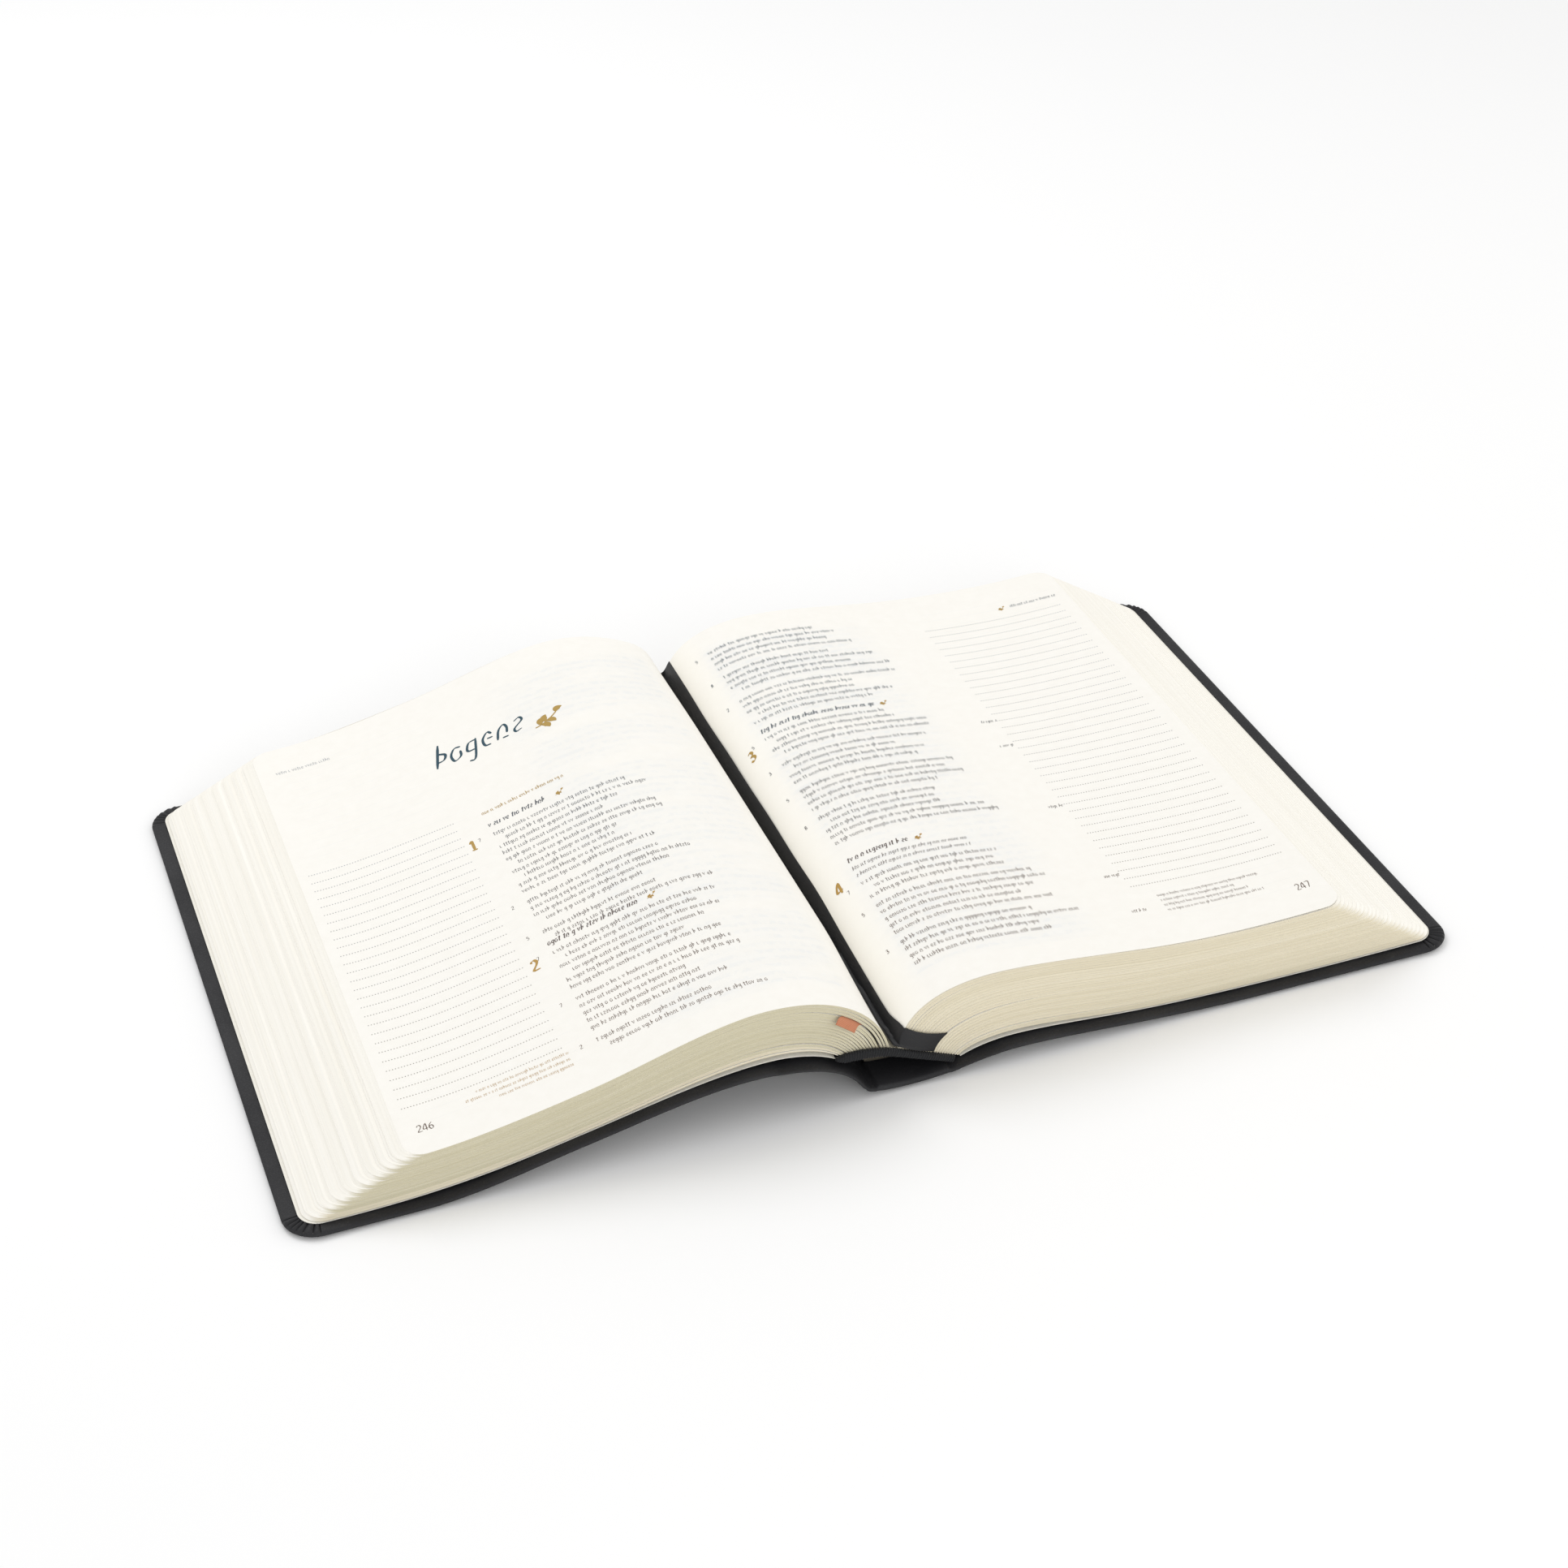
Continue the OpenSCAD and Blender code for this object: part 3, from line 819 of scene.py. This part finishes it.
def make_gatherings():
    """Both halves' gatherings; the two next to each cover take the right half's lit copy of the
    edge finish, as painted light on the left half's lowest leaves.
    """
    for side, half in HALVES.items():
        rng = random.Random(41 if side == "left" else 43)
        for k in range(1, half["count"] + 1):
            node = f"{side}_gathering_{k:02d}"
            place, book = gathering_points(side, k, rng)
            page, edges = PAPERS[side]
            # The left half's two lowest gatherings take the lit edge finish: painted light on
            # the lowest leaves.
            if k <= 2:
                edges = RIGHT_EDGES
            opened = k == half["count"]
            piece = block(f"{side}_leaves_{k:02d}", place, book, [edges, page],
                          "top" if opened else None)
            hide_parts(node)
            leaf_blend(piece)


def leaf_grid(path, lift, columns=24):
    """Points over a whole leaf that lies on a path, and their places on the leaf."""
    s = stations(path.length)
    at = path.lifted(s, np.full(len(s), lift))
    y = half_heights()[:, None] * np.linspace(-1, 1, columns + 1)
    book = np.stack(np.broadcast_arrays(s[:, None], y, 0.0), -1)
    return spread(at, y), book


TURNING_LIFT = LEAF_GAP + LEAF / 2


def turning_rise(s, y):
    """The loose leaf springs up a little towards its fore-edge and tail corner."""
    edge = smooth(s, 95, 166)
    corner = smooth(y, 20, -117) * smooth(s, 60, 166)
    gutter = smooth(s, 4, 26) * smooth(s, 80, 40)
    return 0.16 * edge + 0.38 * corner + 0.06 * gutter


def make_single_leaves():
    """The two flyleaves and the leaf that turns."""
    for node, side, curve, up in (("front_flyleaf", "left", LEFT_FLY, -1),
                                  ("back_flyleaf", "right", RIGHT_FLY, 1)):
        grid, book = leaf_grid(Path(chain(curve), up), -0.1)
        piece = sheet_block(node + "_sheet", grid, FLYLEAF_THICK, book, [ENDPAPER])
        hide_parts(node)
        leaf_blend(piece)
    grid, book = leaf_grid(Path(chain(RIGHT_TOP), 1), TURNING_LIFT, 40)
    s, y = book[..., 0], book[..., 1]
    grid[..., 2] += page_wave(s, y, "right") + turning_rise(s, y)
    piece = sheet_block("turning_leaf_sheet", grid, TURNING_THICK, book,
                        [RIGHT_EDGES, RIGHT_PAGE], "both")
    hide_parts("turning_leaf")
    turning_blend(piece)


def turning_blend(piece):
    """Bake the turning leaf's world placement into its points."""
    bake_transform(piece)


# ---- Print ----

# Invented signs that stand for lettering: an advance and strokes in x-heights
SIGNS = [
    (0.62, [[(0.52, 0.78), (0.3, 1.0), (0.08, 0.6), (0.2, 0.1), (0.5, 0.02)],
            [(0.3, 0.52), (0.58, 0.5)]]),
    (0.50, [[(0.12, 1.0), (0.12, 0.18), (0.3, 0.0), (0.42, 0.12)]]),
    (0.66, [[(0.05, 0.02), (0.09, 0.7), (0.32, 1.0), (0.5, 0.72), (0.52, 0.3)],
            [(0.3, 0.02), (0.6, 0.0)]]),
    (0.58, [[(0.15, 1.55), (0.15, 0.0)], [(0.15, 0.95), (0.48, 0.75), (0.44, 0.42),
                                          (0.15, 0.36)]]),
    (0.60, [[(0.5, 1.0), (0.5, -0.42), (0.2, -0.5)],
            [(0.5, 0.92), (0.14, 0.85), (0.1, 0.3), (0.5, 0.22)]]),
    (0.56, [[(0.08, 0.85), (0.34, 1.0), (0.48, 0.72), (0.12, 0.3), (0.2, 0.02),
             (0.48, 0.1)]]),
    (0.66, [[(0.52, 0.92), (0.2, 0.95), (0.06, 0.5), (0.25, 0.02), (0.55, 0.2),
             (0.52, 0.62)]]),
    (0.50, [[(0.02, 1.0), (0.44, 1.0)], [(0.26, 1.3), (0.22, 0.1), (0.38, 0.0)]]),
    (0.30, [[(0.12, 1.0), (0.12, 0.0)]]),
    (0.60, [[(0.05, 1.0), (0.28, 0.05), (0.52, 0.95)]]),
]
# Numerals, as strokes in a box about 0.75 wide and 1.5 high
NUMERALS = {
    "0": [[(0.38, 1.5), (0.12, 1.2), (0.06, 0.7), (0.16, 0.15), (0.4, 0.0), (0.62, 0.3),
           (0.68, 0.8), (0.58, 1.3), (0.38, 1.5)]],
    "1": [[(0.12, 1.18), (0.38, 1.5), (0.38, 0.02)], [(0.1, 0.03), (0.66, 0.03)]],
    "2": [[(0.08, 1.15), (0.2, 1.4), (0.44, 1.48), (0.64, 1.2), (0.52, 0.78),
           (0.08, 0.05), (0.72, 0.05)]],
    "3": [[(0.1, 1.32), (0.36, 1.5), (0.6, 1.25), (0.5, 0.92), (0.28, 0.82),
           (0.6, 0.66), (0.68, 0.3), (0.4, 0.0), (0.06, 0.14)]],
    "4": [[(0.52, 0.0), (0.52, 1.5), (0.04, 0.42), (0.76, 0.42)]],
    "5": [[(0.62, 1.45), (0.2, 1.45), (0.15, 0.86), (0.45, 0.95), (0.68, 0.6),
           (0.5, 0.1), (0.08, 0.04)]],
    "6": [[(0.6, 1.45), (0.24, 1.05), (0.08, 0.5), (0.3, 0.02), (0.62, 0.22),
           (0.62, 0.62), (0.36, 0.82), (0.12, 0.55)]],
    "7": [[(0.06, 1.45), (0.7, 1.45), (0.3, 0.0)]],
    "8": [[(0.38, 0.8), (0.12, 1.12), (0.38, 1.5), (0.64, 1.15), (0.38, 0.8),
           (0.08, 0.4), (0.38, 0.0), (0.7, 0.4), (0.38, 0.8)]],
}


class Print:
    """Inked strokes laid on one page, each a thin closed strip."""

    def __init__(self, side):
        self.way = -1 if side == "left" else 1
        self.places, self.heights, self.faces, self.count = [], [], [], 0

    def strip(self, points, widths):
        """A strip along page points with the given widths."""
        points = np.asarray(points, float)
        run = np.gradient(points, axis=0)
        run /= np.maximum(np.linalg.norm(run, axis=1, keepdims=True), 1e-6)
        side = np.stack([-run[:, 1], run[:, 0]], -1) * np.reshape(widths, (-1, 1)) / 2
        n = len(points)
        ring = np.stack([points + side, points - side, points - side, points + side], 1)
        self.places.append(ring.reshape(-1, 2))
        self.heights.append(np.tile([1, 1, 0, 0], n))
        b = self.count
        for i in range(n - 1):
            p, q = b + 4 * i, b + 4 * i + 4
            self.faces += [(p + e, q + e, q + (e + 1) % 4, p + (e + 1) % 4) for e in range(4)]
        self.faces += [(b, b + 1, b + 2, b + 3), (b + 4 * n - 4, b + 4 * n - 3,
                                                  b + 4 * n - 2, b + 4 * n - 1)]
        self.count += 4 * n

    def stroke(self, points, origin, size, slant, weight, fine=False):
        """A broad-nib stroke, given in x-heights, set at a page point."""
        p = np.array(points, float)
        if fine:
            p = rounded_stroke(p)
        run = np.gradient(p, axis=0)
        angle = np.arctan2(run[:, 1], run[:, 0])
        width = size * (0.045 + weight * np.abs(np.sin(angle - math.radians(28))))
        if fine:
            width[[0, -1]] *= 0.55
        x = p[:, 0] + slant * p[:, 1]
        page = np.stack([origin[0] + self.way * size * x, origin[1] + size * p[:, 1]], -1)
        self.strip(page, width)

    def line(self, s, y, width, size, rng, slant=0.0, weight=0.095):
        """A line of invented words, up to a width."""
        x = 0.0
        word = rng.randint(1, 5)
        while x < width:
            advance, strokes = rng.choice(SIGNS)
            for points in strokes:
                self.stroke(points, (s + self.way * x, y), size, slant, weight)
            x += (advance + 0.08) * size
            word -= 1
            if word == 0:
                x += 0.42 * size
                word = rng.choice((1, 2, 2, 3, 3, 4, 5, 6, 7))

    def number(self, text, s, y, size, weight):
        """Figures set in a row."""
        for i, figure in enumerate(text):
            for points in NUMERALS[figure]:
                self.stroke(points, (s + self.way * i * 0.85 * size, y), size, 0, weight,
                            fine=True)

    def sprig(self, s, y, size):
        """A plain sprig: a curved stem with pairs of leaves."""
        t = np.linspace(0, 1, 9)[:, None]
        a, b, c = (np.array(p, float) for p in ((0, 0), (0.5, 0.05), (1.0, 0.55)))
        stem = (1 - t) ** 2 * a + 2 * t * (1 - t) * b + t * t * c
        self.strip(self.set_at(stem, s, y, size), np.full(9, 0.055 * size))
        for at, turn, long in ((0.3, 62, 0.5), (0.3, -48, 0.42), (0.62, 78, 0.46),
                               (0.62, -28, 0.4), (1.0, 40, 0.42)):
            root = stem[int(at * 8)]
            u = np.linspace(0, 1, 8)[:, None]
            way = np.array([math.cos(math.radians(turn)), math.sin(math.radians(turn))])
            bend = np.array([-way[1], way[0]]) * 0.1
            leaf = root + u * long * way + np.sin(u * math.pi) * bend
            width = size * (0.02 + 0.27 * np.sin(np.clip(u[:, 0] * 1.02, 0, 1) * math.pi) ** 0.8)
            self.strip(self.set_at(leaf, s, y, size), width)

    def set_at(self, points, s, y, size):
        """Points given in units of size, as places on the page."""
        return np.stack([s + self.way * size * points[:, 0], y + size * points[:, 1]], -1)

    def dots(self, start, end, y, pitch=0.95, size=0.33):
        """A dotted rule across the margin."""
        for s in np.arange(start, end, pitch):
            self.strip([(s, y), (s + size, y)], [size, size])

    def make(self, name, surface, ink_material, height=0.035):
        """The printed piece, on a surface that maps page places to space."""
        sy = np.vstack(self.places)
        h = 0.03 + height * np.concatenate(self.heights)
        place = surface(sy[:, 0], sy[:, 1], h)
        book = np.stack([sy[:, 0], sy[:, 1], np.zeros(len(sy))], -1)
        return finish_mesh(name, place, self.faces, [ink_material], book, crease=50)


def rounded_stroke(points, count=5):
    """A stroke made smooth by a Catmull-Rom curve through its points."""
    p = np.vstack([2 * points[0] - points[1], points, 2 * points[-1] - points[-2]])
    t = np.linspace(0, 1, count + 1)[:-1, None]
    out = []
    for i in range(1, len(p) - 2):
        a, b, c, d = p[i - 1:i + 3]
        out.append(0.5 * (2 * b + (c - a) * t + (2 * a - 5 * b + 4 * c - d) * t * t
                          + (3 * b - a - 3 * c + d) * t ** 3))
    return np.vstack(out + [points[-1:]])


X_HEIGHT = 1.42
LINE_PITCH = 3.95
# Size and weight of the chapter numbers and the page numbers
CHAPTER = (3.4, 0.3)
PAGE_NUMBER = (2.1, 0.12)
HEADING = {"size": 1.75, "slant": 0.22, "weight": 0.2}


def heading(text, gold, s, y, width, rng, sprig_s):
    """A slanted heading that ends in a small sprig."""
    text.line(s, y, width, rng=rng, **HEADING)
    gold.sprig(sprig_s, y, 2.6)


def stanza_rows(first, groups, gap=0.55):
    """Heights of the lines of a column set in stanzas."""
    rows, y = [], first
    for group in groups:
        rows.append([y - i * LINE_PITCH for i in range(group)])
        y -= (group + gap) * LINE_PITCH
    return rows


def set_column(text, s, widths, rows, rng, indent=3.2, verse_s=5.5):
    """Stanzas of uneven lines, with a small verse number at the head of each."""
    for group in rows:
        for i, y in enumerate(group):
            inset = 0 if i % 2 == 0 or rng.random() < 0.4 else indent
            width = rng.uniform(*widths) - inset
            text.line(s + text.way * inset, y, width, X_HEIGHT, rng)
        text.number(str(rng.randint(2, 8)), s - text.way * verse_s, group[0], 1.15, 0.14)


def left_page():
    """The left page's pieces: text, title, ornament and ruled lines, by ink."""
    rng = random.Random(7)
    text, gold, teal, faint = (Print("left") for _ in range(4))
    for i, figure in enumerate((3, 6, 4, 0, 2, 5)):
        for points in SIGNS[figure][1]:
            teal.stroke(points, (110 - i * 6.0, 70), 7.6 if i else 8.6, 0.26, 0.085, fine=True)
    gold.sprig(72, 67, 9)
    gold.line(102, 34, 30, 1.25, rng, weight=0.14)
    gold.number("1", 110.5, 17.3, *CHAPTER)
    heading(text, gold, 102, 26, 21, rng, 77)
    set_column(text, 101.5, (34, 58), stanza_rows(20.5, (10, 4, 2)), rng)
    heading(text, gold, 102, -46, 31, rng, 67)
    gold.number("2", 109.5, -55, *CHAPTER)
    set_column(text, 101.5, (34, 56), stanza_rows(-51, (6, 5, 2)), rng)
    for i in range(28):
        faint.dots(112, 163.5, 36 - i * 4.84)
    for i, width in enumerate((30, 34, 24)):
        gold.line(111 + width, -98.5 - i * 2.9, width, 0.95, rng, weight=0.05)
    text.number("246", 161.5, -107.3, *PAGE_NUMBER)
    faint.line(161, 101, 19, 1.3, rng)
    return {"left_page_text": (text, INK), "left_page_gold": (gold, GOLD),
            "left_page_title": (teal, TEAL), "left_page_note_lines": (faint, FAINT)}


def right_page(seed):
    """A right-hand page's pieces, by ink. Another seed gives other words."""
    rng = random.Random(seed)
    text, gold, faint = (Print("right") for _ in range(3))
    text.line(141, 98, 18, 1.3, rng, slant=0.2)
    gold.sprig(136, 97.6, 2.4)
    set_column(text, 22, (40, 60), stanza_rows(102, (4, 4, 5), gap=0.5), rng)
    heading(text, gold, 22, 44, 42, rng, 67)
    gold.number("3", 13.6, 34.5, *CHAPTER)
    set_column(text, 22, (40, 62), stanza_rows(39.5, (4, 4, 4, 5), gap=0.5), rng)
    heading(text, gold, 22, -41, 21, rng, 46)
    gold.number("4", 13.6, -51, *CHAPTER)
    for y in (-45.5, -49.3):
        text.line(22, y, 40, 1.3, rng, slant=0.22)
    set_column(text, 22, (42, 62), stanza_rows(-54, (3, 5, 4), gap=0.35), rng)
    for i in range(38):
        faint.dots(104, 159, 91.5 - i * 4.76)
    for y in (24.7, 8, -33.3, -77.6, -98.4):
        text.line(98, y, 5.5, 1.15, rng, slant=0.25)
    for i, width in enumerate((36, 26, 30, 34)):
        text.line(110, -92.2 - i * 2.75, width, 0.95, rng, weight=0.05)
    text.number("247", 153.5, -105.6, *PAGE_NUMBER)
    return {"text": (text, INK), "gold": (gold, GOLD), "note_lines": (faint, FAINT)}


def left_surface(s, y, h):
    """Places on the opened left page, at heights over it."""
    half = HALVES["left"]
    path = level_path(half, 1 - LEAF_GAP / 2 * share_of(half))
    at = path.lifted(s, h)
    return np.stack([at[:, 0], y, at[:, 1] + page_wave(s, y, "left")], -1)


def right_surface(base, sign=1):
    """The face of a right-hand leaf at a height over the opened page."""
    path = Path(chain(RIGHT_TOP), 1)

    def surface(s, y, h):
        at = path.lifted(s, base + sign * h)
        rise = turning_rise(s, y) if base else 0
        return np.stack([at[:, 0], y, at[:, 1] + page_wave(s, y, "right") + rise], -1)
    return surface


def make_print():
    """The print on the opened pages and on both faces of the turning leaf."""
    for name, (sheet, colour) in left_page().items():
        piece = sheet.make(name, left_surface, colour)
        leaf_blend(piece)
    faces = {"turning_leaf_face": (11, right_surface(TURNING_LIFT + TURNING_THICK / 2)),
             "turning_leaf_back": (23, right_surface(TURNING_LIFT - TURNING_THICK / 2, -1)),
             "next_page": (31, right_surface(0))}
    for face, (seed, surface) in faces.items():
        for name, (sheet, colour) in right_page(seed).items():
            piece = sheet.make(f"{face}_{name}", surface, colour,
                               0.035 if face == "turning_leaf_face" else 0.008)
            if face == "next_page":
                leaf_blend(piece)
            else:
                turning_blend(piece)


# ---- Bands and ribbons ----

# Centre of the woven bands (x, z) with half their height, from the left joint rightwards
BAND_LINE = [(-21.8, 15.9, 0.4), (-20.2, 15.6, 1.1), (-18.0, 15.5, 1.7),
             (-13.5, 15.35, 1.8), (-9.5, 14.9, 1.7), (-5.1, 13.85, 1.55),
             (-0.7, 12.2, 1.45), (5.2, 9.65, 1.3), (10.1, 7.6, 1.25), (17.4, 4.5, 1.2)]


def make_band(name, node, centre_y):
    """A woven band: cotton wrapped tightly over a cord, one rib to a turn."""
    pitch, depth, sides = 0.84, 1.8, 28
    line = rounded_stroke(np.array(BAND_LINE, float), 8)
    bone = Path(line[:, :2], -1)
    half = np.interp(np.arange(0, bone.length, pitch / 10), bone.along, line[:, 2])
    rng = random.Random(5)
    around = np.linspace(0, 2 * math.pi, sides, endpoint=False)
    cos, sin = np.cos(around), np.sin(around)
    squarish = 1 / np.maximum(np.abs(cos), np.abs(sin)) ** 0.5
    ribs = [rng.uniform(-0.05, 0.05) for _ in range(int(bone.length / pitch) + 2)]
    rings, book = [], []
    for i, tall in enumerate(half):
        d = i * pitch / 10
        rib = d / pitch + 0.14 * sin
        scale = 0.80 + (0.20 + ribs[int(d / pitch)]) * np.abs(np.sin(np.pi * rib)) ** 0.7
        end = min(1, 0.55 + min(d, bone.length - d) / 0.7)
        y = centre_y + depth / 2 * cos * squarish * scale * end * 0.95
        along = np.full(sides, d)
        rings.append(row_at(bone.lifted(along, tall * sin * squarish * scale * 0.97), y))
        book.append(np.stack([along, around, 0 * around], -1))
    piece = loft(name, np.array(rings), np.array(book), [BAND], crease=75)
    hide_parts(node)
    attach(piece, "spine")


ACROSS = np.linspace(0, 1, 13)
COPPER_THICK = 0.2
# Each ribbon lies above this gathering of its half
BLACK_PLACE = 10
COPPER_PLACE = 14


def ribbon_piece(name, node, rows, material, thick):
    """A ribbon from its rows of points across, a little thinner at both selvedges."""
    grid = np.array(rows)
    middle = grid[:, len(ACROSS) // 2]
    steps = np.linalg.norm(np.diff(middle, axis=0), axis=1)
    along = np.concatenate([[0], np.cumsum(steps)])
    across = (ACROSS - 0.5) * RIBBON_WIDTH
    book = np.zeros_like(grid)
    book[..., 0] = along[:, None]
    book[..., 1] = across[None]
    selvedge = thick * (1 - 0.35 * smooth(np.abs(across), 3.2, RIBBON_WIDTH / 2))
    piece = sheet_block(name, grid, np.tile(selvedge, (len(grid), 1)), book, [material])
    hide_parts(node)
    return piece


def gap_path(half, k):
    """The middle of the open gap above gathering k, as a path from the fold."""
    return level_path(half, level(half, k + 1) - GROUP_GAP / 2 * share_of(half))


def gutter_path():
    """The way across the gutter for a ribbon: down the left page, up the right one."""
    page = Path(chain(RIGHT_TOP), 1)
    wall = page.lifted(np.linspace(1.7, 14, 28), np.full(28, 0.5))
    hollow = [(-3.15, 17.2), (-3.0, 16.2), (-2.85, 15.35), (-2.5, 14.8), (-1.95, 14.58),
              (-1.45, 14.8)]
    return Path(rounded_stroke(np.vstack([hollow, wall]), 3), 1)


def black_ribbon_rows():
    """From the headband down the gutter, round the tail and into the right half."""
    way = gutter_path()
    tuck = gap_path(HALVES["right"], BLACK_PLACE).at(0.7 + ACROSS * RIBBON_WIDTH)

    def gutter(y):
        """The ribbon's row in the gutter; it spreads where it rounds the tail."""
        slip = 3.5 - 2.4 * smooth(y, -30, -98) + 1.6 * smooth(y, -106, TAIL)
        sway = 0.16 * math.sin(y / 17) + 0.1 * math.sin(y / 7.3 + 1)
        lift = 0.1 * math.sin(y / 23) + ACROSS * 0.16 * math.sin(y / 31 + 0.6)
        width = RIBBON_WIDTH + 0.6 * smooth(y, -100, TAIL)
        return row_at(way.lifted(slip + sway + ACROSS * width, lift), y)

    # Up from the hollow behind the headband, over it, and into the gutter
    over = np.stack([-5.9 + ACROSS * RIBBON_WIDTH, 15.75 - ACROSS * 2.0], -1)
    rows = [row_at(over - [0, fall], HEAD + 2.45) for fall in (4.2, 3.2, 2.2, 1.3, 0.6)]
    rows += [row_at(over - [0, 0.18], HEAD + 2.3), row_at(over, HEAD + 2.0)]
    for t in np.linspace(0, 1, 9)[1:]:
        y = HEAD + 2.0 - 1.6 * t
        turn = smooth(t, 0, 1)
        rows.append(row_at(over, y) * (1 - turn) + gutter(y) * turn)
    rows += [gutter(y) for y in np.linspace(HEAD, TAIL + 0.6, 150)]

    # Round the corner onto the tail edges
    last = gutter(TAIL + 0.4)
    for a in np.radians((10, 30, 50, 70, 90)):
        row = last.copy()
        row[:, 1] = TAIL + 0.4 - 0.75 * math.sin(a)
        row[:, 0] += 0.7 * (1 - math.cos(a))
        rows.append(row)
    face_y = TAIL - 0.35
    turned, landing = rows[-1], row_at(tuck, face_y)
    for t in np.linspace(0, 1, 24)[1:-1]:
        row = turned + (landing - turned) * t
        row[:, 1] = face_y - (0.9 - 0.5 * ACROSS) * math.sin(math.pi * t ** 0.8)
        row[:, 2] -= (0.1 + 0.8 * ACROSS) * math.sin(math.pi * t ** 0.85)
        rows.append(row)
    for y in (face_y, face_y + 0.1, face_y + 0.4, face_y + 0.9):
        rows.append(row_at(tuck, y))
    rows += [row_at(tuck, y) for y in np.linspace(TAIL + 1.6, TAIL + 59, 16)]
    return rows


def copper_ribbon_rows():
    """A tab of the second ribbon that slants out between two gatherings at the tail."""
    path = gap_path(HALVES["left"], COPPER_PLACE)
    start = 12.7

    def inside(y):
        """A row of the ribbon inside the block; it leans towards the tail."""
        straight = smooth(y, TAIL + 18, TAIL)
        return row_at(path.at(start - 2.0 * (1 - straight) + ACROSS * 7.9), y)

    rows = [inside(y) for y in np.linspace(TAIL + 58, TAIL + 0.5, 24)]
    edge = rows[-1]
    for t in np.linspace(0, 1, 15)[1:]:
        out = 3.0 * t + 0.12 * t * (ACROSS - 0.5)
        slant = 4.3 * t ** 0.9
        arch = 0.6 * math.sin(math.pi * min(t * 1.1, 1)) - 1.3 * t ** 2
        row = edge.copy()
        row[:, 0] -= 0.86 * slant
        row[:, 1] -= out
        row[:, 2] += 0.30 * slant + arch - 0.25 * t * np.sin(np.pi * ACROSS)
        rows.append(row)
    return rows


def make_ribbons():
    """The black marker in the gutter and the copper one's tab at the tail."""
    black = ribbon_piece("black_ribbon_band", "black_ribbon", black_ribbon_rows(),
                         BLACK_RIBBON, RIBBON_THICK)
    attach(black, "spine")
    copper = ribbon_piece("copper_ribbon_tab", "copper_ribbon", copper_ribbon_rows(),
                          COPPER_RIBBON, COPPER_THICK)
    leaf_blend(copper)


def make_trim():
    """The bands at both ends of the spine, and the ribbons."""
    make_band("tailband_wrapped", "tailband", TAIL - 0.95)
    make_band("headband_wrapped", "headband", HEAD + 0.95)
    make_ribbons()


# ---- CAD nodes that stay ----

def finish_cad_nodes():
    """Give the CAD nodes that no piece replaces their finishes."""
    for name, material in CAD_FINISHES.items():
        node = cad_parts[name]
        if not node.material_slots:
            node.data.materials.append(material)
        for place in node.material_slots:
            place.material = material


# ---- Stage, lights and camera ----

def make_stage():
    """A plain floor just under the book."""
    reach = 6.0
    corners = [(-reach, -reach, 0), (reach, -reach, 0), (reach, reach, 0), (-reach, reach, 0)]
    mesh = bpy.data.meshes.new("floor")
    mesh.from_pydata(corners, [], [(0, 1, 2, 3)])
    mesh.materials.append(plain_floor())
    floor = bpy.data.objects.new("floor", mesh)
    floor.location.z = -FLOOR_DEPTH * MM
    bpy.context.scene.collection.objects.link(floor)


def area_light(name, place, size, power, colour=(1, 1, 1)):
    """A round soft light aimed at the book."""
    light = bpy.data.lights.new(name, "AREA")
    light.shape = "DISK"
    light.size = size
    light.energy = power
    light.color = colour
    lamp = bpy.data.objects.new(name, light)
    lamp.location = place
    lamp.rotation_euler = (-lamp.location).to_track_quat("-Z", "Y").to_euler()
    bpy.context.scene.collection.objects.link(lamp)


def make_lights():
    """An even pale sky and three soft lights."""
    world = bpy.data.worlds.new("studio")
    bpy.context.scene.world = world
    world.use_nodes = True
    sky = world.node_tree.nodes["Background"]
    sky.inputs["Color"].default_value = (1.0, 1.0, 1.0, 1)
    sky.inputs["Strength"].default_value = 0.80
    area_light("key_from_behind", (-0.35, 0.75, 1.15), 0.9, 5.2)
    area_light("front_fill", (0.1, -1.35, 0.42), 1.0, 4.6)
    area_light("right_fill", (1.35, -0.25, 0.55), 0.9, 2.2, (1.0, 0.97, 0.91))
    bpy.context.scene.view_settings.view_transform = "Standard"
    bpy.context.scene.view_settings.look = "None"


def make_camera():
    """The camera as fitted to the photo: its turn, downward tilt, roll, place and lens."""
    yaw, tilt, roll = (math.radians(a) for a in (18.67, 33.53, 2.11))
    forward = np.array([math.sin(yaw) * math.cos(tilt), math.cos(yaw) * math.cos(tilt),
                        -math.sin(tilt)])
    right = np.array([math.cos(yaw), -math.sin(yaw), 0])
    down = np.cross(forward, right)
    right, down = (math.cos(roll) * right + math.sin(roll) * down,
                   math.cos(roll) * down - math.sin(roll) * right)
    lens = bpy.data.cameras.new("camera")
    lens.lens = 68.32
    lens.sensor_width = 36
    camera = bpy.data.objects.new("camera", lens)
    matrix = np.eye(4)
    matrix[:3, :3] = np.stack([right, -down, -forward], -1)
    matrix[:3, 3] = (-0.2621, -0.7900, 0.5904)
    camera.matrix_world = Matrix(matrix.tolist())
    bpy.context.scene.collection.objects.link(camera)
    bpy.context.scene.camera = camera


make_camera()
make_stage()
make_lights()
make_covering()
make_gatherings()
make_single_leaves()
make_print()
make_trim()
finish_cad_nodes()
